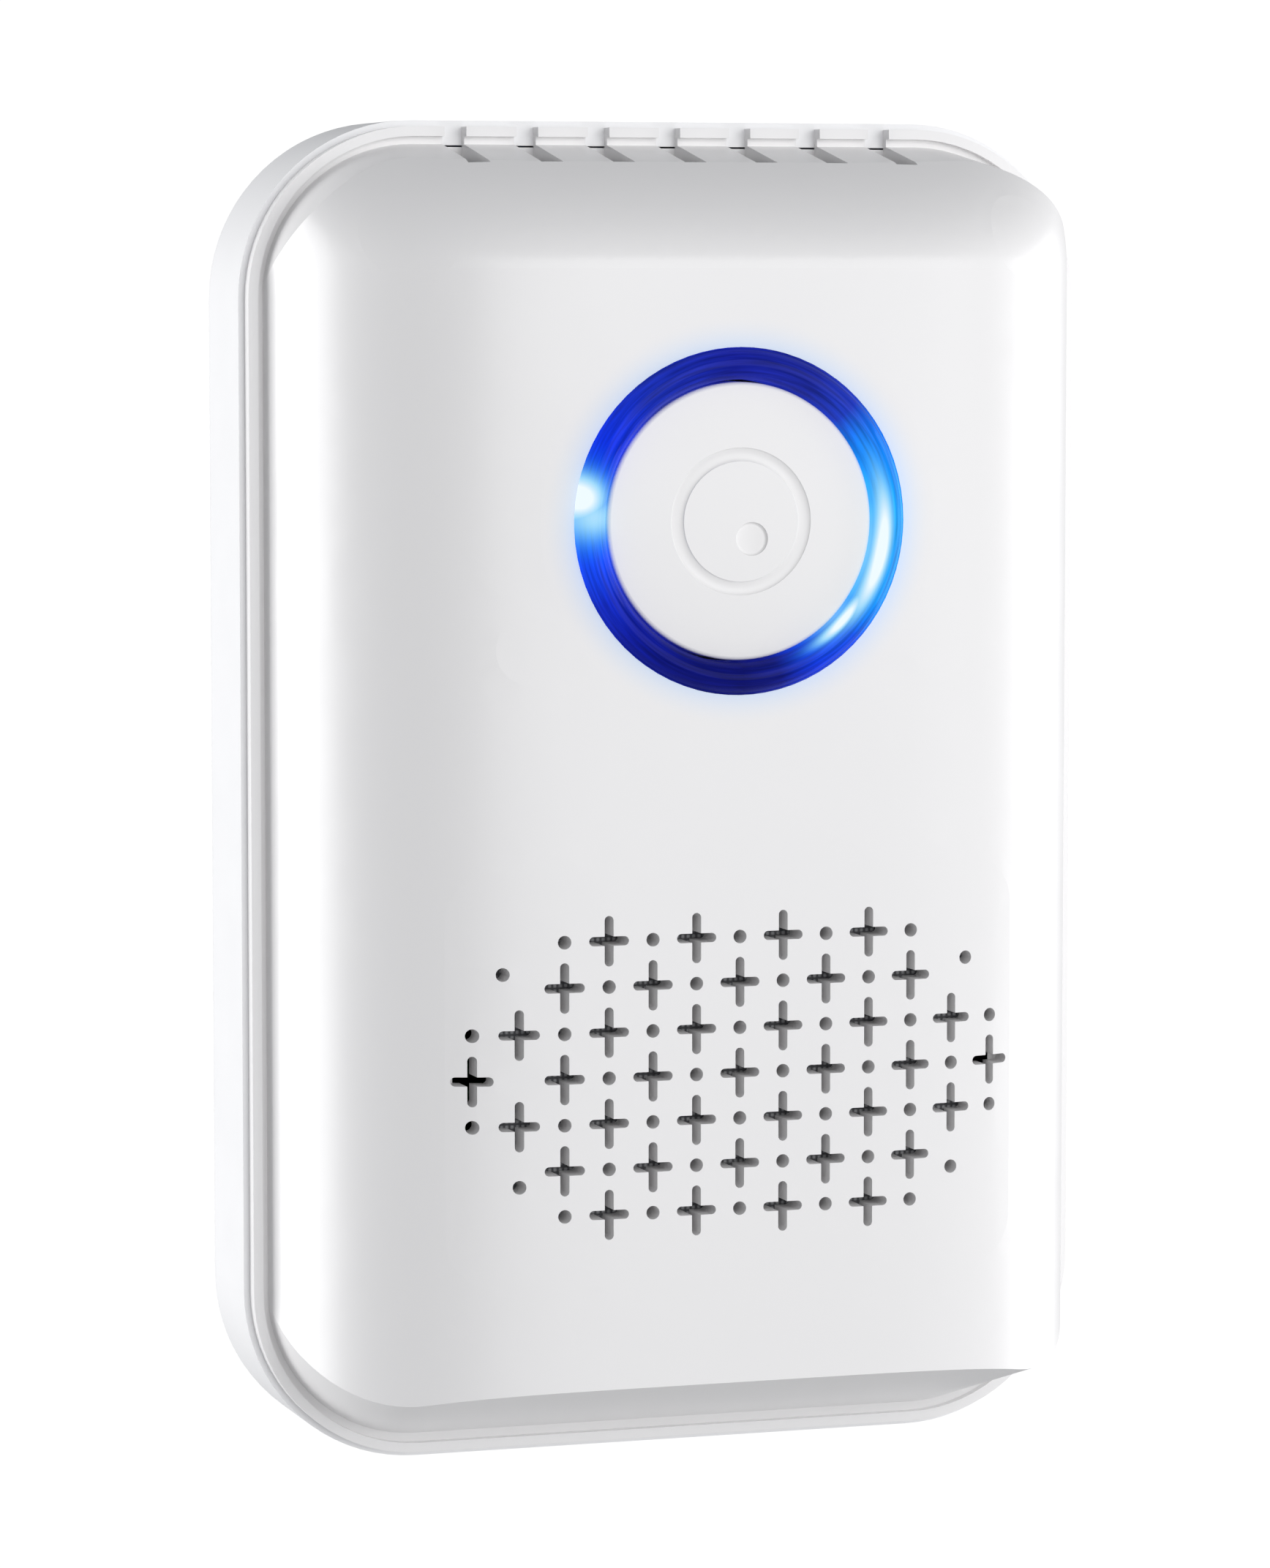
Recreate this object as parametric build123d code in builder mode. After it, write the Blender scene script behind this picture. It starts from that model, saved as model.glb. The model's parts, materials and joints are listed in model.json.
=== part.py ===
"""Plug-in ultrasonic pest repeller, in millimetres.

The back of the casing is the plane Y = 0 and the wall is on its +Y side, so the
front looks towards -Y. Z is up, and the origin is the middle of the back, between
the two plug blades. Every height below is a distance forward of the back plane:
level(h) is the plane at that height, its sketch x is X and its sketch y is Z, and
an extrusion of it runs towards the front.
"""

import os
from math import cos, isclose, pi, radians, sin

from build123d import *

# ---------------------------------------------------------------- casing sizes
WIDTH = 72.4                # rear cover, side to side
HEIGHT = 110.0              # rear cover, bottom to top
REAR_DEPTH = 12.5           # rear cover, back plane to parting plane
COVER_DEPTH = 19.5          # front cover, parting plane to front plane
CORNER_R = 14.5             # outline corner of the rear cover
BACK_EDGE_R = 3.0           # rounding round the back of the rear cover
WALL = 2.0                  # casing wall
FLOOR = 2.0                 # back wall of the rear cover

RIM_STEP = 0.5              # rear cover stands out past the front cover's rim
RIM_WIDTH = 0.8             # flat ledge seen from the front
RIM_THICK = 1.4
FOOT_GROOVE = 0.5           # shadow groove between ledge and wall
FOOT_GROOVE_DEPTH = 0.7
LIP_LENGTH = 2.0            # front cover's lip inside the rear cover
LIP_THICK = 1.0
LIP_GAP = 0.15

TOP_WALL_FALL = 3.8         # how much lower the top wall is at the front plane
BOTTOM_WALL_FALL = 6.6      # how much higher the bottom wall is there
SIDE_WALL_FALL = 0.3
FRONT_CORNER_R = 8.0        # outline corner at the front plane
SIDE_POWER = 5.0            # the front's section is a flat-topped Lame curve
EDGE_POWER = 1.6
ROLL_HEIGHT = 8.6           # top stretch of the front that rolls back
ROLL_DEPTH = 11.3           # how far it has rolled back at the crease
ROLL_POWER = 1.9
CREASE_BELOW_TOP = 3.4      # crease to the top of the rear cover
ROLL_STEPS = 5              # sections that the roll is lofted through, less one
SECTION_STEPS = 14          # points on each half of a section

VENT_COUNT = 7
VENT_PITCH = 6.1
VENT_WIDTH = 1.85
VENT_DEEP = 6.5             # how far down from the top the slots are cut

# ------------------------------------------------------------ lit ring, button
RING_Z = 22.9
RING_R = 13.8
RING_WIDE = 2.5             # ring seen from the front
RING_CROWN = 0.9            # ring stands proud of the front plane
RING_SHOULDER = 0.1         # front plane down to the crown's edges
RING_SEAT = 2.4             # front plane to the face that the flange bears on
RING_FLANGE = 1.8           # flange past the ring
RING_FLANGE_THICK = 1.0
RING_SKIRT_LENGTH = 2.0
RING_SKIRT_WALL = 0.9
RING_GAP = 0.08             # ring to the hole in the cover

REFLECTOR_PAST = 0.6        # reflector past the ring's flange
REFLECTOR_WALL = 0.9
REFLECTOR_LENGTH = 8.0      # ring flange to LED board
REFLECTOR_TUBE_UP = 2.4     # inner tube stops this far short of the LED board
REFLECTOR_RIB = 1.0
REFLECTOR_RIB_TALL = 3.2
EAR_OUT = 3.8               # fixing ear centre past the reflector
EAR_R = 3.0
EAR_THICK = 2.0
EAR_TURNS = (90, 210, 330)
EAR_POST_R = 2.8

BUTTON_GAP = 0.2            # cap to ring, all round
BUTTON_FACE = 1.6
BUTTON_CROWN = 0.35         # cap's face bulges this much
BUTTON_SKIRT_WALL = 1.1
BUTTON_ROUND = 0.3
BUTTON_STOP_R = 0.75        # snap rim stands out past the skirt
BUTTON_STOP_THICK = 0.8
BUTTON_STOP_GAP = 0.12      # snap rim to the end of the reflector's tube
BUTTON_TRAVEL = 0.5
BUTTON_RING_R = 5.35        # round groove in the face
BUTTON_RING_WIDTH = 1.1
BUTTON_RING_DEEP = 0.2
DIMPLE_R = 1.35
DIMPLE_DEEP = 0.3
DIMPLE_ROUND = 0.2          # round where its floor meets its wall
DIMPLE_X = 0.9
DIMPLE_Z = -1.4
STEM_R = 1.6
STEM_GAP = 0.06             # stem to switch plunger

LED_BOARD_THICK = 1.2
LED_SIZE = 2.0
LED_TALL = 1.9
LED_COUNT = 6
SWITCH_SIDE = 6.2
SWITCH_TALL = 3.6
SWITCH_SHELL = 0.8
PLUNGER_R = 1.75
PLUNGER_OUT = 1.0           # plunger stands out of the switch
PLUNGER_GAP = 0.1
PLUNGER_FLANGE = 0.5        # flange past the plunger, and its thickness
DOME_SPACE = 1.0            # room left under the pressed plunger
SWITCH_CORNER = 0.6

# --------------------------------------------------------------- grille, horn
GRILLE_Z = -21.4
GRILLE_PITCH = 3.67
GRILLE_COLUMNS = 13
GRILLE_ROWS = 7
GRILLE_SHORT_ROWS = 2       # rows at the top and bottom with fewer columns
GRILLE_INSET = 2            # columns left out at each end of a short row
GRILLE_SKIPPED = (1, 3)     # column and row of the one dot left out
CROSS_TALL = 4.05
CROSS_WIDE = 3.3
CROSS_ARM = 0.75
DOT_R = 0.55
CORNER_DOT_OUT = 1.3        # the four lone corner dots stand off the grid
CORNER_DOT_UP = 1.2

SPEAKER_SEAT = 3.0          # front plane to the flat seat behind the grille
SEAT_MARGIN = 0.8           # seat past the grille and past the cloth
SEAT_CORNER = 4.0
CLOTH_WIDTH = 40.6
CLOTH_HEIGHT = 27.5
CLOTH_DROP = 2.2            # cloth's middle below the grille's middle
CLOTH_THICK = 0.4
CLOTH_GAP = 0.4             # cloth to the edge of its pocket
GASKET_THICK = 1.0
GASKET_WALL = 2.2
SPEAKER_R = 19.6
SPEAKER_FLANGE = 1.6
SPEAKER_FLANGE_OUT = 2.8    # flange past the housing behind it
SPEAKER_DEPTH = 11.0        # flange face to the back of the housing
SPEAKER_WALL = 1.2
SPEAKER_LEDGE = 1.2         # ledge that the cone's rim sits on
SPEAKER_LEDGE_DOWN = 2.2    # flange face to the ledge
CONE_THICK = 0.3
CONE_GAP = 0.1
CONE_RIM = 1.8
DISC_R = 6.5
DISC_THICK = 0.5
DISC_DOWN = 7.4             # flange face to the piezo disc
TERMINAL_UP = 7.4           # terminals above the speaker's axis
TERMINAL_WIDE = 1.6
TERMINAL_THICK = 0.6
TERMINAL_OUT = 1.4
CLIP_OUT = 2.8              # clip post centre past the speaker's flange
CLIP_TURNS = (45, 135, 270)
CLIP_POST_R = 2.5
CLIP_WIDE = 7.0
CLIP_THICK = 1.4
CLIP_CORNER = 1.0
CLIP_OVERLAP = 1.6          # clip over the speaker's flange
CLIP_BITE = 2.6             # screw length in the clip's post

# ---------------------------------------------------------------- main board
BOARD_SIDE = 7.2            # casing's side to the board's edge
BOARD_END = 15.0            # casing's top or bottom to the board's edge
BOARD_THICK = 1.6
BOARD_CORNER = 3.0
BOARD_BACK = 7.4            # back plane to the board's rear face
BOARD_POST_IN = (3.5, 5.0)  # board's edges to its posts
BOARD_POST_R = 2.6
LEG_R = 0.3
FIT_GAP = 0.05

CAPACITOR_AT = (-25.0, 0.0)
CAPACITOR_SIZE = (7.0, 18.0, 12.0)
CAPACITOR_ROUND = 0.6
ELECTROLYTIC_X = 24.0
ELECTROLYTIC_Z = (4.5, -6.0)
ELECTROLYTIC_R = 5.0
ELECTROLYTIC_TALL = 14.0
ELECTROLYTIC_ROUND = 0.5
ELECTROLYTIC_SCORE = 0.3    # vent cross in the can's top
TRANSFORMER_AT = (-17.5, 25.0)
TRANSFORMER_SIDE = 13.0
TRANSFORMER_TALL = 9.2
WINDOW_X = 3.1              # core's window from its middle
WINDOW_WIDE = 3.2
WINDOW_TALL = 9.0
WINDING_SHORT = 1.0         # winding below the core's face
WINDING_ROUND = 0.8
CHOKE_AT = (14.0, 30.0)
CHOKE_R = 4.2
CHOKE_WINDING_R = 3.6
CHOKE_CORE_R = 2.1
CHOKE_TALL = 8.0
CHOKE_FLANGE = 1.2
BRIDGE_AT = (-14.0, -33.0)
BRIDGE_SIZE = (8.5, 6.5, 3.2)
BRIDGE_CHAMFER = 0.4
VARISTOR_AT = (14.0, -34.0)
VARISTOR_R = 3.2
VARISTOR_THICK = 3.0
VARISTOR_ROUND = 1.0
VARISTOR_LIFT = 0.6
FUSE_AT = (0.0, -37.0)
FUSE_R = 1.8
FUSE_LENGTH = 10.0
FUSE_ROUND = 0.8
FUSE_UP = 3.0
CHIP_AT = (8.0, -16.0)
CHIP_SIZE = (9.9, 3.9, 1.6)
CHIP_LIFT = 0.1
CHIP_PINS = 8
LEG_PITCH = 1.27            # between the legs of chips and transistors
CHIP_PIN = (0.4, 1.1, 0.5)
TRANSISTOR_Z = -26.0
TRANSISTOR_X = (-6.0, 0.0, 6.0)
TRANSISTOR_R = 2.3
TRANSISTOR_TALL = 4.8
TRANSISTOR_FLAT = 1.7       # middle to the flat face
TRANSISTOR_LIFT = 1.0
CHIP_RESISTOR_SIZE = (2.0, 1.25, 0.6)
CHIP_RESISTOR_AT = (-12.0, -18.0)
CHIP_RESISTOR_PITCH = (3.2, 2.4)
CONNECTOR_Z = 12.0
CONNECTOR_X = (-8.0, 8.0)
CONNECTOR_SIZE = (7.4, 4.6, 5.0)
WIRE_R = 0.5
WIRE_BEND = 2.0
WIRE_PITCH = 2.5
WIRE_SEAT = 1.0             # wire inside its socket
WIRE_RISE = 2.6             # socket to where the wires turn
SPEAKER_WIRE_DIP = 3.0      # speaker wires dip behind their terminals
LED_WIRE_BELOW = 2.9        # LED wires below the ring's axis

# ------------------------------------------------------------------ fasteners
COVER_SCREW_IN = (10.2, 9.5)    # casing's side and end to the screws
SCREW_R = 1.3               # self-tapping screw, outside the thread
SCREW_HEAD_R = 2.4
SCREW_HEAD_TALL = 1.7
SCREW_CROSS = 0.7           # width of the driver recess
PILOT_GAP = 0.03            # pilot hole past the screw
THROUGH_GAP = 0.3           # clearance hole past the screw
WELL_R = 3.0                # head recess in the back
WELL_DEEP = 3.4
WELL_WALL = 1.3
COVER_POST_R = 3.5
COVER_SCREW_BITE = 8.0      # screw length in the front cover's post
BOARD_SCREW_BITE = 4.6
EAR_SCREW_BITE = 5.0
POST_GAP = 0.1              # front cover posts stop short of the rear ones
PILOT_PAST = 0.3            # pilot hole past the screw's point
PAD_MARGIN = 1.0            # thickened pad past the flange that bears on it
CUT_PAST = 1.0              # cuts run this far past an open face

# ----------------------------------------------------------------- mains plug
BLADE_WIDE = 6.35
BLADE_THICK = 1.5
BLADE_PITCH = 12.7
BLADE_LENGTH = 17.5
BLADE_HOLE_R = 1.55
BLADE_HOLE_AT = 11.9
BLADE_TIP = 1.4             # tip's corner taper
PLUG_WIDE = 27.0
PLUG_TALL = 18.0
PLUG_CORNER = 5.0
PLUG_FLANGE = 3.0           # flange past the boss, inside the casing
PLUG_FLANGE_THICK = 2.0
PLUG_GAP = 0.1
PLUG_EAR_X = 20.0
PLUG_EAR_WIDE = 6.4
PLUG_EAR_THICK = 1.2
PLUG_SCREW_BITE = 2.9
TANG_WIDE = 3.2
TANG_OUT = 1.2              # tang stands through the board
SOLDER_WIDE = 1.2           # solder round the tang
SOLDER_TALL = 0.9
SOLDER_CORNER = 1.0
SOLDER_TAPER = 35

# ------------------------------------------------------------- worked-out sizes
PARTING = REAR_DEPTH
FRONT = PARTING + COVER_DEPTH
WALL_INSET = RIM_STEP + RIM_WIDTH + FOOT_GROOVE
CREASE = FRONT - ROLL_DEPTH
ROLL_START = HEIGHT / 2 - CREASE_BELOW_TOP - ROLL_HEIGHT
BOARD_FRONT = BOARD_BACK + BOARD_THICK

BOARD_WIDTH = WIDTH - 2 * BOARD_SIDE
BOARD_HEIGHT = HEIGHT - 2 * BOARD_END
BOARD_POST_X = BOARD_WIDTH / 2 - BOARD_POST_IN[0]
BOARD_POST_Z = BOARD_HEIGHT / 2 - BOARD_POST_IN[1]
COVER_SCREW_X = WIDTH / 2 - COVER_SCREW_IN[0]
COVER_SCREW_Z = HEIGHT / 2 - COVER_SCREW_IN[1]

RING_INNER_R = RING_R - RING_WIDE
RING_FLANGE_R = RING_R + RING_FLANGE
REFLECTOR_R = RING_FLANGE_R + REFLECTOR_PAST
EAR_REACH = REFLECTOR_R + EAR_OUT
RING_FLANGE_FRONT = FRONT - RING_SEAT
RING_FLANGE_BACK = RING_FLANGE_FRONT - RING_FLANGE_THICK
LED_BOARD_FRONT = RING_FLANGE_BACK - REFLECTOR_LENGTH
LED_BOARD_BACK = LED_BOARD_FRONT - LED_BOARD_THICK
EAR_FRONT = LED_BOARD_FRONT + EAR_THICK
REFLECTOR_TUBE_R = RING_INNER_R + REFLECTOR_WALL
REFLECTOR_TUBE_END = LED_BOARD_FRONT + REFLECTOR_TUBE_UP
LED_CIRCLE_R = (REFLECTOR_TUBE_R + REFLECTOR_R - REFLECTOR_WALL) / 2
BUTTON_R = RING_INNER_R - BUTTON_GAP
BUTTON_STOP_FRONT = REFLECTOR_TUBE_END - BUTTON_STOP_GAP
BUTTON_STOP_BACK = BUTTON_STOP_FRONT - BUTTON_STOP_THICK
SWITCH_FRONT = LED_BOARD_FRONT + SWITCH_TALL
PLUNGER_FRONT = SWITCH_FRONT + PLUNGER_OUT
STEM_END = PLUNGER_FRONT + STEM_GAP
BUTTON_EDGE = FRONT - BUTTON_CROWN / 2
BUTTON_TOP = BUTTON_EDGE + BUTTON_CROWN

SEAT_WIDTH = (GRILLE_COLUMNS - 1) * GRILLE_PITCH + CROSS_WIDE + SEAT_MARGIN
SEAT_HEIGHT = CLOTH_HEIGHT + 2 * CLOTH_DROP + 2 * SEAT_MARGIN
CLOTH_FRONT = FRONT - SPEAKER_SEAT
CLOTH_BACK = CLOTH_FRONT - CLOTH_THICK
SPEAKER_FACE = CLOTH_BACK - GASKET_THICK
SPEAKER_FLANGE_BACK = SPEAKER_FACE - SPEAKER_FLANGE
SPEAKER_BACK = SPEAKER_FACE - SPEAKER_DEPTH
SPEAKER_BODY_R = SPEAKER_R - SPEAKER_FLANGE_OUT
SPEAKER_BORE_R = SPEAKER_BODY_R - SPEAKER_WALL
LEDGE = SPEAKER_FACE - SPEAKER_LEDGE_DOWN
DISC_FRONT = SPEAKER_FACE - DISC_DOWN
TERMINAL_Z = GRILLE_Z + TERMINAL_UP
CLIP_REACH = SPEAKER_R + CLIP_OUT
CLIP_BACK = SPEAKER_FLANGE_BACK - CLIP_THICK
TERMINAL_X = [CONNECTOR_X[0] + side * WIRE_PITCH / 2 for side in (-1, 1)]
LED_WIRE_X = [CONNECTOR_X[1] + side * WIRE_PITCH / 2 for side in (-1, 1)]

PLUG_FLANGE_FRONT = FLOOR + PLUG_FLANGE_THICK
PLUG_EAR_FRONT = PLUG_FLANGE_FRONT + PLUG_EAR_THICK
PILOT_R = SCREW_R + PILOT_GAP
THROUGH_R = SCREW_R + THROUGH_GAP

ORIGIN = (0, 0)
RING_AT = (0, RING_Z)
GRILLE_AT = (0, GRILLE_Z)
CLOTH_AT = (0, GRILLE_Z - CLOTH_DROP)
COVER_SCREWS = [(x, z) for x in (-COVER_SCREW_X, COVER_SCREW_X) for z in (-COVER_SCREW_Z, COVER_SCREW_Z)]
BOARD_SCREWS = [(x, z) for x in (-BOARD_POST_X, BOARD_POST_X) for z in (-BOARD_POST_Z, BOARD_POST_Z)]
CLIP_SCREWS = [
    (CLIP_REACH * cos(radians(turn)), GRILLE_Z + CLIP_REACH * sin(radians(turn)))
    for turn in CLIP_TURNS
]
PLUG_SCREWS = [(-PLUG_EAR_X, 0), (PLUG_EAR_X, 0)]
BLADE_X = (-BLADE_PITCH / 2, BLADE_PITCH / 2)
EAR_SCREWS = [
    (EAR_REACH * cos(radians(turn)), RING_Z + EAR_REACH * sin(radians(turn)))
    for turn in EAR_TURNS
]
RING_SECTION = Plane(origin=(0, 0, RING_Z), x_dir=(1, 0, 0), z_dir=(0, 0, -1))
RING_AXIS = Axis((0, 0, RING_Z), (0, -1, 0))
SPEAKER_SECTION = Plane(origin=(0, 0, GRILLE_Z), x_dir=(1, 0, 0), z_dir=(0, 0, -1))
SPEAKER_AXIS = Axis((0, 0, GRILLE_Z), (0, -1, 0))

os.makedirs("parts", exist_ok=True)


# -------------------------------------------------------------------- helpers
def level(height):
    """Plane parallel to the back, at this height forward of it."""
    return Plane.XZ.offset(height)


def discs(radius, spots, low, high, mode=Mode.ADD):
    """Round posts or holes of one radius, from one height to another."""
    with BuildSketch(level(low)) as drawn:
        with Locations(*spots):
            Circle(radius)
    extrude(to_extrude=drawn.sketch, amount=high - low, mode=mode)


def blocks(width, tall, spots, low, high, corner=0, mode=Mode.ADD):
    """Rectangular blocks or pockets of one size, from one height to another."""
    with BuildSketch(level(low)) as drawn:
        with Locations(*spots):
            if corner:
                RectangleRounded(width, tall, corner)
            else:
                Rectangle(width, tall)
    extrude(to_extrude=drawn.sketch, amount=high - low, mode=mode)


def casing_block(inset, low, high, mode=Mode.ADD):
    """Block with the casing's outline, smaller by inset all round."""
    size = (WIDTH - 2 * inset, HEIGHT - 2 * inset)
    blocks(*size, [ORIGIN], low, high, CORNER_R - inset, mode)


def screws(spots, seat, tip):
    """Pan-head screws whose heads sit at height seat and whose points reach tip."""
    along = 1 if tip > seat else -1
    point = SCREW_R * along
    with BuildSketch(level(seat)) as shank:
        with Locations(*spots):
            Circle(SCREW_R)
    extrude(to_extrude=shank.sketch, amount=tip - seat - point)
    for x, z in spots:
        with BuildSketch(level(tip - point)) as base:
            with Locations((x, z)):
                Circle(SCREW_R)
        with BuildSketch(level(tip)) as end:
            with Locations((x, z)):
                Circle(SCREW_R / 4)
        loft(sections=[base.sketch, end.sketch])
    top = seat - SCREW_HEAD_TALL * along
    discs(SCREW_HEAD_R, spots, min(seat, top), max(seat, top))
    floor = seat - SCREW_HEAD_TALL / 2 * along
    for size in ((SCREW_HEAD_R * 1.2, SCREW_CROSS), (SCREW_CROSS, SCREW_HEAD_R * 1.2)):
        blocks(*size, spots, min(floor, top), max(floor, top), mode=Mode.SUBTRACT)


def save(builder, name):
    """Label a finished piece and write its STEP file."""
    builder.part.label = name
    export_step(builder.part, f"parts/{name}.step")


# --------------------------------------------------------------- casing shapes
def roll_back(z):
    """How far behind the front plane the middle of the front is at this z."""
    share = max(0, z - ROLL_START) / ROLL_HEIGHT
    return ROLL_DEPTH * share ** ROLL_POWER


def front_section(z, shrink):
    """Horizontal section of the front: flat-topped across, steep at both sides.

    Height above the parting plane = depth * (1 - |x / half|^SIDE_POWER)^(1 / EDGE_POWER).
    """
    half = WIDTH / 2 - WALL_INSET - shrink
    depth = COVER_DEPTH - roll_back(z + shrink) - shrink
    points = []
    for i in range(-SECTION_STEPS, SECTION_STEPS + 1):
        across = sin(pi / 2 * i / SECTION_STEPS)
        rise = depth * max(0, 1 - abs(across) ** SIDE_POWER) ** (1 / EDGE_POWER)
        points.append((half * across, -(PARTING + rise)))
    with BuildSketch(Plane.XY.offset(z)) as section:
        with BuildLine():
            Spline(points)
            Line(points[-1], points[0])
        make_face()
    return section.sketch


def front_form(shrink=0):
    """Solid with the front cover's outer shape, moved inwards by shrink."""
    inset = WALL_INSET + shrink
    wide = WIDTH - 2 * inset
    tall = HEIGHT - 2 * inset
    middle = (BOTTOM_WALL_FALL - TOP_WALL_FALL) / 2
    with BuildPart() as walls:
        with BuildSketch(level(PARTING)):
            RectangleRounded(wide, tall, CORNER_R - inset)
        with BuildSketch(level(FRONT)):
            with Locations((0, middle)):
                front_size = (wide - 2 * SIDE_WALL_FALL, tall - TOP_WALL_FALL - BOTTOM_WALL_FALL)
                RectangleRounded(*front_size, FRONT_CORNER_R - shrink)
        loft()
    step = (HEIGHT / 2 - ROLL_START) / ROLL_STEPS
    stations = [ROLL_START - shrink + step * i for i in range(ROLL_STEPS + 1)]
    with BuildPart() as form:
        extrude(to_extrude=front_section(-HEIGHT / 2, shrink), amount=stations[0] + HEIGHT / 2)
        loft(sections=[front_section(z, shrink) for z in stations])
        add(walls.part, mode=Mode.INTERSECT)
    return form.part


OUTSIDE = front_form()
INSIDE = front_form(WALL)

# ---------------------------------------------------------------- front cover
with BuildPart() as inner_features:
    discs(COVER_POST_R, COVER_SCREWS, PARTING + POST_GAP, FRONT)
    discs(EAR_POST_R, EAR_SCREWS, EAR_FRONT, FRONT)
    discs(CLIP_POST_R, CLIP_SCREWS, SPEAKER_FLANGE_BACK, FRONT)
    discs(RING_FLANGE_R + PAD_MARGIN, [RING_AT], RING_FLANGE_FRONT, FRONT)
    discs(SPEAKER_R + PAD_MARGIN, [GRILLE_AT], CLOTH_FRONT, FRONT)
    blocks(SEAT_WIDTH, SEAT_HEIGHT, [GRILLE_AT], CLOTH_FRONT, FRONT, SEAT_CORNER)
    add(OUTSIDE, mode=Mode.INTERSECT)


def grille_spots():
    """Centres of the crosses and of the dots, which alternate on one grid."""
    crosses, dots = [], []
    middle_column = (GRILLE_COLUMNS - 1) / 2
    middle_row = (GRILLE_ROWS - 1) / 2
    for row in range(GRILLE_ROWS):
        short = min(row, GRILLE_ROWS - 1 - row) < GRILLE_SHORT_ROWS
        inset = GRILLE_INSET if short else 0
        for column in range(inset, GRILLE_COLUMNS - inset):
            if (column, row) == GRILLE_SKIPPED:
                continue
            spot = (
                (column - middle_column) * GRILLE_PITCH,
                GRILLE_Z + (middle_row - row) * GRILLE_PITCH,
            )
            (crosses if (row + column) % 2 else dots).append(spot)
    across = (middle_column - 1) * GRILLE_PITCH
    up = (middle_row - 1) * GRILLE_PITCH + CORNER_DOT_UP
    for side in (-1, 1):
        dots.append((side * (across + CORNER_DOT_OUT), GRILLE_Z + up))
        dots.append((side * across, GRILLE_Z - up))
    return crosses, dots


crosses, dots = grille_spots()
with BuildPart() as grille_holes:
    with BuildSketch(level(CLOTH_FRONT - CUT_PAST)) as cross_shapes:
        with Locations(*crosses):
            SlotOverall(CROSS_TALL, CROSS_ARM, rotation=90)
            SlotOverall(CROSS_WIDE, CROSS_ARM)
    extrude(to_extrude=cross_shapes.sketch, amount=SPEAKER_SEAT + 2 * CUT_PAST)
    discs(DOT_R, dots, CLOTH_FRONT - CUT_PAST, FRONT + CUT_PAST)

with BuildPart() as front_cover:
    add(OUTSIDE)
    casing_block(RIM_STEP, PARTING, PARTING + RIM_THICK)
    groove_floor = PARTING + RIM_THICK - FOOT_GROOVE_DEPTH
    casing_block(RIM_STEP + RIM_WIDTH, groove_floor, PARTING + RIM_THICK, Mode.SUBTRACT)
    add(OUTSIDE)
    casing_block(WALL + LIP_GAP, PARTING - LIP_LENGTH, PARTING)
    add(INSIDE, mode=Mode.SUBTRACT)
    casing_block(WALL + LIP_GAP + LIP_THICK, PARTING - LIP_LENGTH, PARTING, Mode.SUBTRACT)
    vent_x = [(i - (VENT_COUNT - 1) / 2) * VENT_PITCH for i in range(VENT_COUNT)]
    vents = [(x, HEIGHT / 2) for x in vent_x]
    blocks(VENT_WIDTH, 2 * VENT_DEEP, vents, PARTING, CREASE, mode=Mode.SUBTRACT)
    add(inner_features.part)
    pocket = (CLOTH_WIDTH + 2 * CLOTH_GAP, CLOTH_HEIGHT + 2 * CLOTH_GAP)
    blocks(*pocket, [CLOTH_AT], CLOTH_BACK, CLOTH_FRONT, mode=Mode.SUBTRACT)
    discs(RING_R + RING_GAP, [RING_AT], RING_FLANGE_FRONT, FRONT + CUT_PAST, Mode.SUBTRACT)
    add(grille_holes.part, mode=Mode.SUBTRACT)
    for spots, seat, bite in (
        (COVER_SCREWS, PARTING, COVER_SCREW_BITE),
        (EAR_SCREWS, EAR_FRONT, EAR_SCREW_BITE),
        (CLIP_SCREWS, SPEAKER_FLANGE_BACK, CLIP_BITE),
    ):
        discs(PILOT_R, spots, seat, seat + bite + PILOT_PAST, Mode.SUBTRACT)
save(front_cover, "front_cover")

# ----------------------------------------------------------------- rear cover
with BuildPart() as rear_cover:
    casing_block(0, 0, PARTING)
    back_edges = rear_cover.faces().sort_by(Axis.Y)[-1].edges()
    fillet(back_edges, radius=BACK_EDGE_R)
    casing_block(WALL, FLOOR, PARTING, Mode.SUBTRACT)
    discs(WELL_R + WELL_WALL, COVER_SCREWS, FLOOR, PARTING)
    discs(BOARD_POST_R, BOARD_SCREWS, FLOOR, BOARD_BACK)
    discs(BOARD_POST_R, PLUG_SCREWS, FLOOR, PLUG_FLANGE_FRONT)
    discs(THROUGH_R, COVER_SCREWS, 0, PARTING, Mode.SUBTRACT)
    discs(WELL_R, COVER_SCREWS, 0, WELL_DEEP, Mode.SUBTRACT)
    for spots, seat, bite in (
        (BOARD_SCREWS, BOARD_BACK, BOARD_SCREW_BITE),
        (PLUG_SCREWS, PLUG_FLANGE_FRONT, PLUG_SCREW_BITE),
    ):
        discs(PILOT_R, spots, seat - bite - PILOT_PAST, seat, Mode.SUBTRACT)
    plug_hole = (PLUG_WIDE + 2 * PLUG_GAP, PLUG_TALL + 2 * PLUG_GAP)
    blocks(*plug_hole, [ORIGIN], 0, FLOOR, PLUG_CORNER + PLUG_GAP, Mode.SUBTRACT)
save(rear_cover, "rear_cover")

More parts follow.
